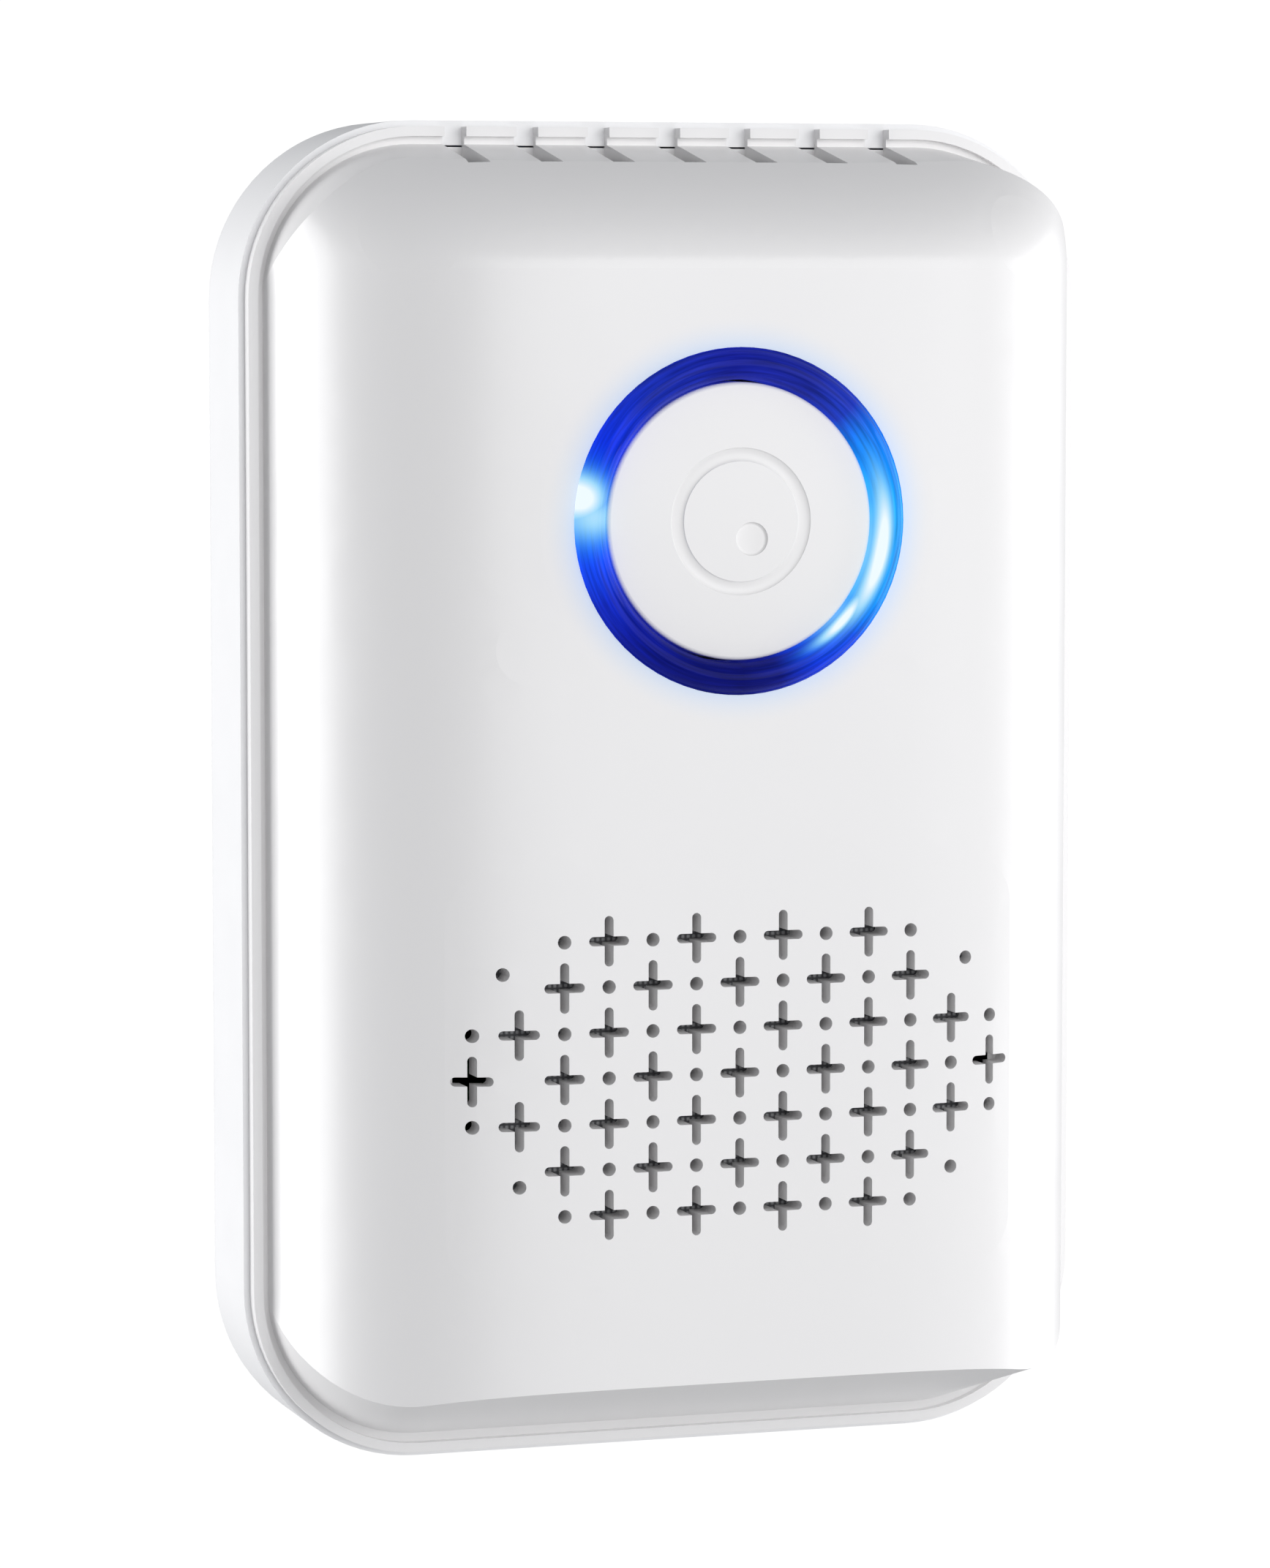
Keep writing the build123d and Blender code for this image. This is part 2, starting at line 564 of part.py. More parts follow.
# ----------------------------------------------------------------- light ring
with BuildPart() as light_ring:
    with BuildSketch(RING_SECTION):
        with BuildLine():
            shoulder = FRONT - RING_SHOULDER
            skirt_end = RING_FLANGE_BACK - RING_SKIRT_LENGTH
            ThreePointArc(
                (RING_INNER_R, shoulder),
                ((RING_INNER_R + RING_R) / 2, FRONT + RING_CROWN),
                (RING_R, shoulder),
            )
            Polyline(
                (RING_R, shoulder),
                (RING_R, RING_FLANGE_FRONT),
                (RING_FLANGE_R, RING_FLANGE_FRONT),
                (RING_FLANGE_R, RING_FLANGE_BACK),
                (LED_CIRCLE_R + RING_SKIRT_WALL / 2, RING_FLANGE_BACK),
                (LED_CIRCLE_R + RING_SKIRT_WALL / 2, skirt_end),
                (LED_CIRCLE_R - RING_SKIRT_WALL / 2, skirt_end),
                (LED_CIRCLE_R - RING_SKIRT_WALL / 2, RING_FLANGE_BACK),
                (RING_INNER_R, RING_FLANGE_BACK),
                (RING_INNER_R, shoulder),
            )
        make_face()
    revolve(axis=RING_AXIS)
save(light_ring, "light_ring")


def ears(low, high):
    """Three fixing ears round the ring's axis, each with its screw hole."""
    root = REFLECTOR_R - REFLECTOR_WALL / 2
    middle = (EAR_REACH + root) / 2
    with BuildSketch(level(low)) as ear_shapes:
        with Locations(*EAR_SCREWS):
            Circle(EAR_R)
        for turn in EAR_TURNS:
            with Locations((middle * cos(radians(turn)), RING_Z + middle * sin(radians(turn)))):
                Rectangle(EAR_REACH - root, 2 * EAR_R, rotation=turn)
        with Locations(*EAR_SCREWS):
            Circle(THROUGH_R, mode=Mode.SUBTRACT)
    extrude(to_extrude=ear_shapes.sketch, amount=high - low)


with BuildPart() as ring_reflector:
    discs(REFLECTOR_R, [RING_AT], LED_BOARD_FRONT, RING_FLANGE_BACK)
    ears(LED_BOARD_FRONT, EAR_FRONT)
    discs(REFLECTOR_R - REFLECTOR_WALL, [RING_AT], LED_BOARD_FRONT, RING_FLANGE_BACK, Mode.SUBTRACT)
    discs(REFLECTOR_TUBE_R, [RING_AT], REFLECTOR_TUBE_END, RING_FLANGE_BACK)
    rib_reach = (REFLECTOR_TUBE_R + REFLECTOR_R - REFLECTOR_WALL) / 2
    with BuildSketch(level(REFLECTOR_TUBE_END)) as ribs:
        with Locations(RING_AT):
            with PolarLocations(rib_reach, LED_COUNT, 180 / LED_COUNT):
                Rectangle(REFLECTOR_R - REFLECTOR_TUBE_R, REFLECTOR_RIB)
    extrude(to_extrude=ribs.sketch, amount=REFLECTOR_RIB_TALL)
    discs(RING_INNER_R, [RING_AT], REFLECTOR_TUBE_END, RING_FLANGE_BACK, Mode.SUBTRACT)
save(ring_reflector, "ring_reflector")

with BuildPart() as led_board:
    discs(REFLECTOR_R, [RING_AT], LED_BOARD_BACK, LED_BOARD_FRONT)
    ears(LED_BOARD_BACK, LED_BOARD_FRONT)
save(led_board, "led_board")

with BuildPart() as blue_leds:
    with BuildSketch(level(LED_BOARD_FRONT)) as led_shapes:
        with Locations(RING_AT):
            with PolarLocations(LED_CIRCLE_R, LED_COUNT):
                Rectangle(LED_SIZE, LED_SIZE)
    extrude(to_extrude=led_shapes.sketch, amount=LED_TALL)
save(blue_leds, "blue_leds")

# --------------------------------------------------------- button and switch
with BuildPart() as button_cap:
    with BuildSketch(RING_SECTION):
        with BuildLine():
            ThreePointArc(
                (0, BUTTON_TOP),
                (BUTTON_R / 2, BUTTON_TOP - BUTTON_CROWN / 4),
                (BUTTON_R, BUTTON_EDGE),
            )
            Polyline(
                (BUTTON_R, BUTTON_EDGE),
                (BUTTON_R, BUTTON_STOP_FRONT),
                (BUTTON_R + BUTTON_STOP_R, BUTTON_STOP_FRONT),
                (BUTTON_R + BUTTON_STOP_R, BUTTON_STOP_BACK),
                (BUTTON_R - BUTTON_SKIRT_WALL, BUTTON_STOP_BACK),
                (BUTTON_R - BUTTON_SKIRT_WALL, BUTTON_EDGE - BUTTON_FACE),
                (STEM_R, BUTTON_EDGE - BUTTON_FACE),
                (STEM_R, STEM_END),
                (0, STEM_END),
                (0, BUTTON_TOP),
            )
        make_face()
    revolve(axis=RING_AXIS)
    circles = button_cap.edges().filter_by(GeomType.CIRCLE)
    rims = circles.filter_by(lambda edge: isclose(edge.radius, BUTTON_R))
    fillet(rims.sort_by(Axis.Y)[0], radius=BUTTON_ROUND)
    ring_height = BUTTON_TOP - BUTTON_CROWN * (BUTTON_RING_R / BUTTON_R) ** 2
    with BuildSketch(RING_SECTION):
        with Locations((BUTTON_RING_R, ring_height)):
            Ellipse(BUTTON_RING_WIDTH / 2, BUTTON_RING_DEEP)
    revolve(axis=RING_AXIS, mode=Mode.SUBTRACT)
    dimple_at = (DIMPLE_X, RING_Z + DIMPLE_Z)
    dimple_floor = BUTTON_TOP - DIMPLE_DEEP
    discs(DIMPLE_R, [dimple_at], dimple_floor, BUTTON_TOP + CUT_PAST, Mode.SUBTRACT)
    floor_edges = button_cap.edges().filter_by(GeomType.CIRCLE)
    fillet(floor_edges.filter_by(lambda edge: isclose(edge.radius, DIMPLE_R)), radius=DIMPLE_ROUND)
save(button_cap, "button_cap")

flange_front = SWITCH_FRONT - SWITCH_SHELL - FIT_GAP
flange_back = flange_front - PLUNGER_FLANGE
cavity_r = PLUNGER_R + PLUNGER_FLANGE + PLUNGER_GAP
cavity_back = flange_back - BUTTON_TRAVEL - DOME_SPACE
with BuildPart() as switch_body:
    blocks(SWITCH_SIDE, SWITCH_SIDE, [RING_AT], LED_BOARD_FRONT, SWITCH_FRONT, SWITCH_CORNER)
    discs(cavity_r, [RING_AT], cavity_back, SWITCH_FRONT - SWITCH_SHELL, Mode.SUBTRACT)
    discs(PLUNGER_R + PLUNGER_GAP, [RING_AT], cavity_back, SWITCH_FRONT, Mode.SUBTRACT)
save(switch_body, "switch_body")

with BuildPart() as switch_plunger:
    discs(PLUNGER_R, [RING_AT], flange_back, PLUNGER_FRONT)
    discs(PLUNGER_R + PLUNGER_FLANGE, [RING_AT], flange_back, flange_front)
save(switch_plunger, "switch_plunger")

with BuildPart() as ring_screws:
    screws(EAR_SCREWS, LED_BOARD_BACK, EAR_FRONT + EAR_SCREW_BITE)
save(ring_screws, "ring_screws")

# ------------------------------------------------------- speaker behind grille
with BuildPart() as grille_cloth:
    blocks(CLOTH_WIDTH, CLOTH_HEIGHT, [CLOTH_AT], CLOTH_BACK, CLOTH_FRONT)
save(grille_cloth, "grille_cloth")

with BuildPart() as speaker_gasket:
    discs(SPEAKER_R, [GRILLE_AT], SPEAKER_FACE, CLOTH_BACK)
    discs(SPEAKER_R - GASKET_WALL, [GRILLE_AT], SPEAKER_FACE, CLOTH_BACK, Mode.SUBTRACT)
save(speaker_gasket, "speaker_gasket")

terminal_slots = [(x, TERMINAL_Z) for x in TERMINAL_X]
slot_size = (TERMINAL_WIDE + 2 * FIT_GAP, TERMINAL_THICK + 2 * FIT_GAP)
with BuildPart() as speaker_frame:
    discs(SPEAKER_R, [GRILLE_AT], SPEAKER_FLANGE_BACK, SPEAKER_FACE)
    discs(SPEAKER_BODY_R, [GRILLE_AT], SPEAKER_BACK, SPEAKER_FLANGE_BACK)
    cup_back = SPEAKER_BACK + SPEAKER_WALL
    discs(SPEAKER_BORE_R - SPEAKER_LEDGE, [GRILLE_AT], cup_back, LEDGE, Mode.SUBTRACT)
    discs(SPEAKER_BORE_R, [GRILLE_AT], LEDGE, SPEAKER_FACE, Mode.SUBTRACT)
    blocks(*slot_size, terminal_slots, SPEAKER_BACK, cup_back, mode=Mode.SUBTRACT)
save(speaker_frame, "speaker_frame")

with BuildPart() as speaker_cone:
    cone_r = SPEAKER_BORE_R - CONE_GAP
    cone_top_r = cone_r - CONE_RIM
    with BuildSketch(SPEAKER_SECTION):
        with BuildLine():
            Polyline(
                (cone_r, LEDGE),
                (cone_r, LEDGE + CONE_THICK),
                (cone_top_r, LEDGE + CONE_THICK),
                (DISC_R - 2 * CONE_THICK, DISC_FRONT),
                (DISC_R, DISC_FRONT),
                (cone_top_r + 2 * CONE_THICK, LEDGE),
                close=True,
            )
        make_face()
    revolve(axis=SPEAKER_AXIS)
save(speaker_cone, "speaker_cone")

with BuildPart() as piezo_disc:
    discs(DISC_R, [GRILLE_AT], DISC_FRONT - DISC_THICK, DISC_FRONT)
save(piezo_disc, "piezo_disc")

terminal_back = SPEAKER_BACK - TERMINAL_OUT
terminal_front = SPEAKER_BACK + SPEAKER_WALL + TERMINAL_OUT
with BuildPart() as speaker_terminals:
    blocks(TERMINAL_WIDE, TERMINAL_THICK, terminal_slots, terminal_back, terminal_front)
save(speaker_terminals, "speaker_terminals")

with BuildPart() as speaker_clips:
    reach_in = SPEAKER_R - CLIP_OVERLAP
    reach_out = CLIP_REACH + CLIP_POST_R
    middle = (reach_in + reach_out) / 2
    with BuildSketch(level(CLIP_BACK)) as clip_shapes:
        for turn in CLIP_TURNS:
            with Locations((middle * cos(radians(turn)), GRILLE_Z + middle * sin(radians(turn)))):
                RectangleRounded(reach_out - reach_in, CLIP_WIDE, CLIP_CORNER, rotation=turn)
        with Locations(*CLIP_SCREWS):
            Circle(THROUGH_R, mode=Mode.SUBTRACT)
    extrude(to_extrude=clip_shapes.sketch, amount=CLIP_THICK)
save(speaker_clips, "speaker_clips")

with BuildPart() as clip_screws:
    screws(CLIP_SCREWS, CLIP_BACK, SPEAKER_FLANGE_BACK + CLIP_BITE)
save(clip_screws, "clip_screws")

# ----------------------------------------------------------------- mains plug
with BuildPart() as plug_base:
    blocks(PLUG_WIDE, PLUG_TALL, [ORIGIN], 0, FLOOR, PLUG_CORNER)
    flange_size = (PLUG_WIDE + 2 * PLUG_FLANGE, PLUG_TALL + 2 * PLUG_FLANGE)
    blocks(*flange_size, [ORIGIN], FLOOR, PLUG_FLANGE_FRONT, PLUG_CORNER)
    blocks(2 * PLUG_EAR_X, PLUG_EAR_WIDE, [ORIGIN], PLUG_FLANGE_FRONT, PLUG_EAR_FRONT)
    discs(PLUG_EAR_WIDE / 2, PLUG_SCREWS, PLUG_FLANGE_FRONT, PLUG_EAR_FRONT)
    discs(BOARD_POST_R + PLUG_GAP, PLUG_SCREWS, FLOOR, PLUG_FLANGE_FRONT, Mode.SUBTRACT)
    discs(THROUGH_R, PLUG_SCREWS, PLUG_FLANGE_FRONT, PLUG_EAR_FRONT, Mode.SUBTRACT)
    for x in BLADE_X:
        blocks(BLADE_THICK, BLADE_WIDE, [(x, 0)], 0, PLUG_EAR_FRONT, mode=Mode.SUBTRACT)
save(plug_base, "plug_base")


def blade(x):
    """One flat mains blade with its tang, in a piece."""
    with BuildPart() as piece:
        blocks(BLADE_THICK, BLADE_WIDE, [(x, 0)], -BLADE_LENGTH, PLUG_EAR_FRONT)
        tip_edges = piece.faces().sort_by(Axis.Y)[-1].edges().filter_by(Axis.X)
        chamfer(tip_edges, length=BLADE_TIP)
        blocks(BLADE_THICK, TANG_WIDE, [(x, 0)], PLUG_EAR_FRONT, BOARD_FRONT + TANG_OUT)
        with BuildSketch(Plane.YZ.offset(x - BLADE_THICK / 2)) as hole:
            with Locations((BLADE_HOLE_AT, 0)):
                Circle(BLADE_HOLE_R)
        extrude(to_extrude=hole.sketch, amount=BLADE_THICK, mode=Mode.SUBTRACT)
    return piece


line_blade = blade(BLADE_X[0])
save(line_blade, "line_blade")
neutral_blade = blade(BLADE_X[1])
save(neutral_blade, "neutral_blade")

with BuildPart() as plug_screws:
    screws(PLUG_SCREWS, PLUG_EAR_FRONT, PLUG_FLANGE_FRONT - PLUG_SCREW_BITE)
save(plug_screws, "plug_screws")

# ----------------------------------------------------------------- main board
blade_spots = [(x, 0) for x in BLADE_X]
with BuildPart() as main_board:
    blocks(BOARD_WIDTH, BOARD_HEIGHT, [ORIGIN], BOARD_BACK, BOARD_FRONT, BOARD_CORNER)
    discs(THROUGH_R, BOARD_SCREWS, BOARD_BACK, BOARD_FRONT, Mode.SUBTRACT)
    tang_slot = (BLADE_THICK + 2 * PLUG_GAP, TANG_WIDE + 2 * PLUG_GAP)
    blocks(*tang_slot, blade_spots, BOARD_BACK, BOARD_FRONT, mode=Mode.SUBTRACT)
save(main_board, "main_board")

with BuildPart() as board_screws:
    screws(BOARD_SCREWS, BOARD_FRONT, BOARD_BACK - BOARD_SCREW_BITE)
save(board_screws, "board_screws")

with BuildPart() as blade_solder:
    with BuildSketch(level(BOARD_FRONT)) as pads:
        with Locations(*blade_spots):
            pad_size = (BLADE_THICK + 2 * SOLDER_WIDE, TANG_WIDE + 2 * SOLDER_WIDE)
            RectangleRounded(*pad_size, SOLDER_CORNER)
    extrude(to_extrude=pads.sketch, amount=SOLDER_TALL, taper=SOLDER_TAPER)
    solder_top = BOARD_FRONT + SOLDER_TALL
    blocks(BLADE_THICK, TANG_WIDE, blade_spots, BOARD_FRONT, solder_top, mode=Mode.SUBTRACT)
save(blade_solder, "blade_solder")

with BuildPart() as film_capacitor:
    wide, tall, out = CAPACITOR_SIZE
    blocks(wide, tall, [CAPACITOR_AT], BOARD_FRONT, BOARD_FRONT + out)
    fillet(film_capacitor.edges().filter_by(Axis.Y), radius=CAPACITOR_ROUND)
save(film_capacitor, "film_capacitor")

with BuildPart() as electrolytic_capacitors:
    cans = [(ELECTROLYTIC_X, z) for z in ELECTROLYTIC_Z]
    can_top = BOARD_FRONT + ELECTROLYTIC_TALL
    discs(ELECTROLYTIC_R, cans, BOARD_FRONT, can_top)
    can_edges = electrolytic_capacitors.edges().filter_by(GeomType.CIRCLE)
    fillet(can_edges.group_by(Axis.Y)[0], radius=ELECTROLYTIC_ROUND)
    for size in ((ELECTROLYTIC_R, ELECTROLYTIC_SCORE), (ELECTROLYTIC_SCORE, ELECTROLYTIC_R)):
        blocks(*size, cans, can_top - ELECTROLYTIC_SCORE, can_top, mode=Mode.SUBTRACT)
save(electrolytic_capacitors, "electrolytic_capacitors")

x, z = TRANSFORMER_AT
core_top = BOARD_FRONT + TRANSFORMER_TALL
windows = [(x - WINDOW_X, z), (x + WINDOW_X, z)]
with BuildPart() as transformer_core:
    blocks(TRANSFORMER_SIDE, TRANSFORMER_SIDE, [TRANSFORMER_AT], BOARD_FRONT, core_top)
    blocks(WINDOW_WIDE, WINDOW_TALL, windows, BOARD_FRONT, core_top, mode=Mode.SUBTRACT)
save(transformer_core, "transformer_core")

with BuildPart() as transformer_winding:
    winding = (WINDOW_WIDE - 2 * FIT_GAP, WINDOW_TALL - 2 * FIT_GAP)
    blocks(*winding, windows, BOARD_FRONT, core_top - WINDING_SHORT, WINDING_ROUND)
save(transformer_winding, "transformer_winding")

choke_low = BOARD_FRONT + CHOKE_FLANGE
choke_high = BOARD_FRONT + CHOKE_TALL - CHOKE_FLANGE
with BuildPart() as choke_bobbin:
    discs(CHOKE_R, [CHOKE_AT], BOARD_FRONT, choke_low)
    discs(CHOKE_CORE_R, [CHOKE_AT], choke_low, choke_high)
    discs(CHOKE_R, [CHOKE_AT], choke_high, choke_high + CHOKE_FLANGE)
save(choke_bobbin, "choke_bobbin")

with BuildPart() as choke_winding:
    discs(CHOKE_WINDING_R, [CHOKE_AT], choke_low, choke_high)
    discs(CHOKE_CORE_R, [CHOKE_AT], choke_low, choke_high, Mode.SUBTRACT)
save(choke_winding, "choke_winding")

with BuildPart() as bridge_rectifier:
    wide, tall, out = BRIDGE_SIZE
    blocks(wide, tall, [BRIDGE_AT], BOARD_FRONT, BOARD_FRONT + out)
    chamfer(bridge_rectifier.faces().sort_by(Axis.Y)[0].edges(), length=BRIDGE_CHAMFER)
save(bridge_rectifier, "bridge_rectifier")

with BuildPart() as varistor:
    x, z = VARISTOR_AT
    disc_up = BOARD_FRONT + VARISTOR_R + VARISTOR_LIFT
    with BuildSketch(Plane.XY.offset(z - VARISTOR_THICK / 2)) as disc:
        with Locations((x, -disc_up)):
            Circle(VARISTOR_R)
    extrude(to_extrude=disc.sketch, amount=VARISTOR_THICK)
    fillet(varistor.edges().filter_by(GeomType.CIRCLE), radius=VARISTOR_ROUND)
    legs = [(x - VARISTOR_R / 2, z), (x + VARISTOR_R / 2, z)]
    discs(LEG_R, legs, BOARD_FRONT, disc_up)
save(varistor, "varistor")

with BuildPart() as fuse_resistor:
    x, z = FUSE_AT
    lift = BOARD_FRONT + FUSE_UP
    with BuildSketch(Plane.YZ.offset(x - FUSE_LENGTH / 2)) as body:
        with Locations((-lift, z)):
            Circle(FUSE_R)
    extrude(to_extrude=body.sketch, amount=FUSE_LENGTH)
    fillet(fuse_resistor.edges().filter_by(GeomType.CIRCLE), radius=FUSE_ROUND)
    legs = [(x - FUSE_LENGTH / 3, z), (x + FUSE_LENGTH / 3, z)]
    discs(LEG_R, legs, BOARD_FRONT, lift)
save(fuse_resistor, "fuse_resistor")

with BuildPart() as controller_chip:
    x, z = CHIP_AT
    long, wide, thick = CHIP_SIZE
    blocks(long, wide, [CHIP_AT], BOARD_FRONT + CHIP_LIFT, BOARD_FRONT + CHIP_LIFT + thick)
    pin_wide, pin_out, pin_tall = CHIP_PIN
    pin_x = [x + (i - (CHIP_PINS - 1) / 2) * LEG_PITCH for i in range(CHIP_PINS)]
    pin_z = [z + side * (wide + pin_out) / 2 for side in (-1, 1)]
    pins = [(across, up) for across in pin_x for up in pin_z]
    blocks(pin_wide, pin_out, pins, BOARD_FRONT, BOARD_FRONT + pin_tall)
save(controller_chip, "controller_chip")

with BuildPart() as driver_transistors:
    body_back = BOARD_FRONT + TRANSISTOR_LIFT
    for x in TRANSISTOR_X:
        with BuildSketch(level(body_back)) as outline:
            with Locations((x, TRANSISTOR_Z)):
                Circle(TRANSISTOR_R)
            with Locations((x, TRANSISTOR_Z + TRANSISTOR_FLAT + TRANSISTOR_R)):
                Rectangle(2 * TRANSISTOR_R, 2 * TRANSISTOR_R, mode=Mode.SUBTRACT)
        extrude(to_extrude=outline.sketch, amount=TRANSISTOR_TALL)
        legs = [(x + step * LEG_PITCH, TRANSISTOR_Z) for step in (-1, 0, 1)]
        discs(LEG_R, legs, BOARD_FRONT, body_back)
save(driver_transistors, "driver_transistors")

with BuildPart() as chip_resistors:
    x, z = CHIP_RESISTOR_AT
    long, wide, thick = CHIP_RESISTOR_SIZE
    across, down = CHIP_RESISTOR_PITCH
    spots = [(x + across * column, z - down * row) for column in (-1, 0, 1) for row in (0, 1)]
    blocks(long, wide, spots, BOARD_FRONT, BOARD_FRONT + thick)
save(chip_resistors, "chip_resistors")

# ------------------------------------------------------------ internal wiring
long, wide, thick = CONNECTOR_SIZE
socket_top = BOARD_FRONT + thick
wire_start = socket_top - WIRE_SEAT
with BuildPart() as board_sockets:
    blocks(long, wide, [(x, CONNECTOR_Z) for x in CONNECTOR_X], BOARD_FRONT, socket_top)
    wire_spots = [(x, CONNECTOR_Z) for x in (*TERMINAL_X, *LED_WIRE_X)]
    discs(WIRE_R, wire_spots, wire_start, socket_top, Mode.SUBTRACT)
save(board_sockets, "board_sockets")


def wire(x, stops):
    """Round wire at this x through (height, z) stops, its runs joined by arcs."""
    points = [(x, -height, z) for height, z in stops]
    with BuildPart() as strand:
        with BuildLine() as path:
            FilletPolyline(*points, radius=WIRE_BEND)
        with BuildSketch(Plane(origin=points[0], z_dir=path.line % 0)):
            Circle(WIRE_R)
        sweep(path=path.line)
    return strand.part


wire_turn = socket_top + WIRE_RISE
speaker_stops = (
    (wire_start, CONNECTOR_Z),
    (wire_turn, CONNECTOR_Z),
    (terminal_back - SPEAKER_WIRE_DIP, TERMINAL_Z),
    (terminal_back, TERMINAL_Z),
)
speaker_strands = [wire(x, speaker_stops) for x in TERMINAL_X]
with BuildPart() as speaker_wires:
    add(speaker_strands)
save(speaker_wires, "speaker_wires")

led_stops = (
    (wire_start, CONNECTOR_Z),
    (wire_turn, CONNECTOR_Z),
    (wire_turn, RING_Z - LED_WIRE_BELOW),
    (LED_BOARD_BACK, RING_Z - LED_WIRE_BELOW),
)
led_strands = [wire(x, led_stops) for x in LED_WIRE_X]
with BuildPart() as led_wires:
    add(led_strands)
save(led_wires, "led_wires")

# --------------------------------------------------------------- cover screws
with BuildPart() as cover_screws:
    screws(COVER_SCREWS, WELL_DEEP, PARTING + COVER_SCREW_BITE)
save(cover_screws, "cover_screws")
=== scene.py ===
"""Looks for a plug-in ultrasonic pest repeller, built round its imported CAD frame.

The back of the casing lies on Y = 0 with the wall on +Y, so the front looks along -Y,
and Z is up. All lengths are metres unless a name ends in _mm.
"""

import json
import logging
import math
from dataclasses import dataclass, field
from enum import Enum
from typing import Any, Protocol

import bpy
import numpy as np
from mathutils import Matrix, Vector


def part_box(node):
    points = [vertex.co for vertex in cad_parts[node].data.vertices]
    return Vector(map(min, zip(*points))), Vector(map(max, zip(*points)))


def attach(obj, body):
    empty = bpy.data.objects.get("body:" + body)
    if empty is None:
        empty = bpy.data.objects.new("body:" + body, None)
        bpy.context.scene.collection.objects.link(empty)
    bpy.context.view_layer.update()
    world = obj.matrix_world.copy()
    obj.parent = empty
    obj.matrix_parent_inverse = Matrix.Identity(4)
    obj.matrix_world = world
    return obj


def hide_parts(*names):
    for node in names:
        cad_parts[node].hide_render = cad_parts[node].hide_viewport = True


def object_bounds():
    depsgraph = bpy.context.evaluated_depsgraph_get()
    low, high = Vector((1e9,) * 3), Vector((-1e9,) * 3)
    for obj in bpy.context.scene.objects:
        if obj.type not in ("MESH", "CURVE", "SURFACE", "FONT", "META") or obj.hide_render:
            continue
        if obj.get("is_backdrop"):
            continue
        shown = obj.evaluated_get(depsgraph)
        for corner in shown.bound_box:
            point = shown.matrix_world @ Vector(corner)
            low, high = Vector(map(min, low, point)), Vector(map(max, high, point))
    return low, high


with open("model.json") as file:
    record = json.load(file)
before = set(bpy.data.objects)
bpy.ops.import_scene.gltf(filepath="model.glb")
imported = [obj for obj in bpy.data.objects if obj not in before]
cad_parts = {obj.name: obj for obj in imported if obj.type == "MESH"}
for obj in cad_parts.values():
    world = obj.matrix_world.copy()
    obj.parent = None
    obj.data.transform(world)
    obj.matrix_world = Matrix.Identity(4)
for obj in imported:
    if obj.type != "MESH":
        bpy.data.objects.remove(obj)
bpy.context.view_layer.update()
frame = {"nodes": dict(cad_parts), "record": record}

MM = 0.001
SLOTS = {row["node"]: row["material_slot"] for row in frame["record"]["subparts"]}
log = logging.getLogger("repeller")

Tree = bpy.types.NodeTree
Node = bpy.types.Node
Socket = bpy.types.NodeSocket


class Body(Enum):
    """Rigid bodies of the frame that a new piece rides on."""

    CASING = "casing"


class Sheen(Enum):
    """How a moulded surface was left by its tool, as roughness."""

    SOFT_GLOSS = 0.33
    SATIN = 0.38
    SPARK_ERODED = 0.55
    DULL = 0.8


def linear(hex_colour: str) -> tuple[float, float, float, float]:
    """Turn an sRGB hex colour into linear red, green, blue and alpha.

    Args:
        hex_colour: Six hex digits, such as "F2F2F0".

    Returns:
        Four numbers from 0 to 1, the last of them 1.
    """
    shares = [int(hex_colour[i : i + 2], 16) / 255 for i in (0, 2, 4)]
    red, green, blue = (s / 12.92 if s <= 0.04045 else ((s + 0.055) / 1.055) ** 2.4 for s in shares)
    return red, green, blue, 1.0


def set_inputs(
    tree: Tree, node: Node, values: dict[Any, Any] | None = None, links: dict[Any, Socket] | None = None
) -> None:
    """Set some of a node's input sockets, and link others.

    Args:
        tree: The node's tree.
        node: The node.
        values: Input sockets, by name or number, and their constant values.
        links: Input sockets, and the output socket that each one reads.
    """
    for key, value in (values or {}).items():
        node.inputs[key].default_value = value
    for key, source in (links or {}).items():
        tree.links.new(source, node.inputs[key])


def add_node(
    tree: Tree,
    kind: str,
    settings: dict[str, Any] | None = None,
    values: dict[Any, Any] | None = None,
    links: dict[Any, Socket] | None = None,
) -> Node:
    """Add one shader node with its settings, socket values and incoming links.

    Args:
        tree: Node tree that gets the node.
        kind: Blender's name of the node type.
        settings: Properties of the node itself, with a colour ramp's stops under "stops".
        values: Input sockets, by name or number, and their constant values.
        links: Input sockets, and the output socket that each one reads.

    Returns:
        The new node.
    """
    node = tree.nodes.new(kind)
    chosen = dict(settings or {})
    stops = chosen.pop("stops", ())
    for key, value in chosen.items():
        setattr(node, key, value)
    set_inputs(tree, node, values, links)
    if stops:
        elements = node.color_ramp.elements
        while len(elements) < len(stops):
            elements.new(0.5)
        for element, (place, colour) in zip(elements, stops):
            element.position = place
            element.color = linear(colour)
    return node


def new_material(name: str) -> tuple[bpy.types.Material, Tree, Node, Socket]:
    """Make a node material with a Principled shader and the piece's own coordinates.

    Args:
        name: The finish's name.

    Returns:
        The material, its node tree, its Principled node and its Object coordinates.
    """
    material = bpy.data.materials.new(name)
    material.use_nodes = True
    tree = material.node_tree
    tree.nodes.clear()
    shader = add_node(tree, "ShaderNodeBsdfPrincipled")
    add_node(tree, "ShaderNodeOutputMaterial", links={"Surface": shader.outputs["BSDF"]})
    points = add_node(tree, "ShaderNodeTexCoord").outputs["Object"]
    return material, tree, shader, points


class Finish(Protocol):
    """Anything that can make the node material of one surface."""

    def material(self) -> bpy.types.Material:
        """Make the node material."""


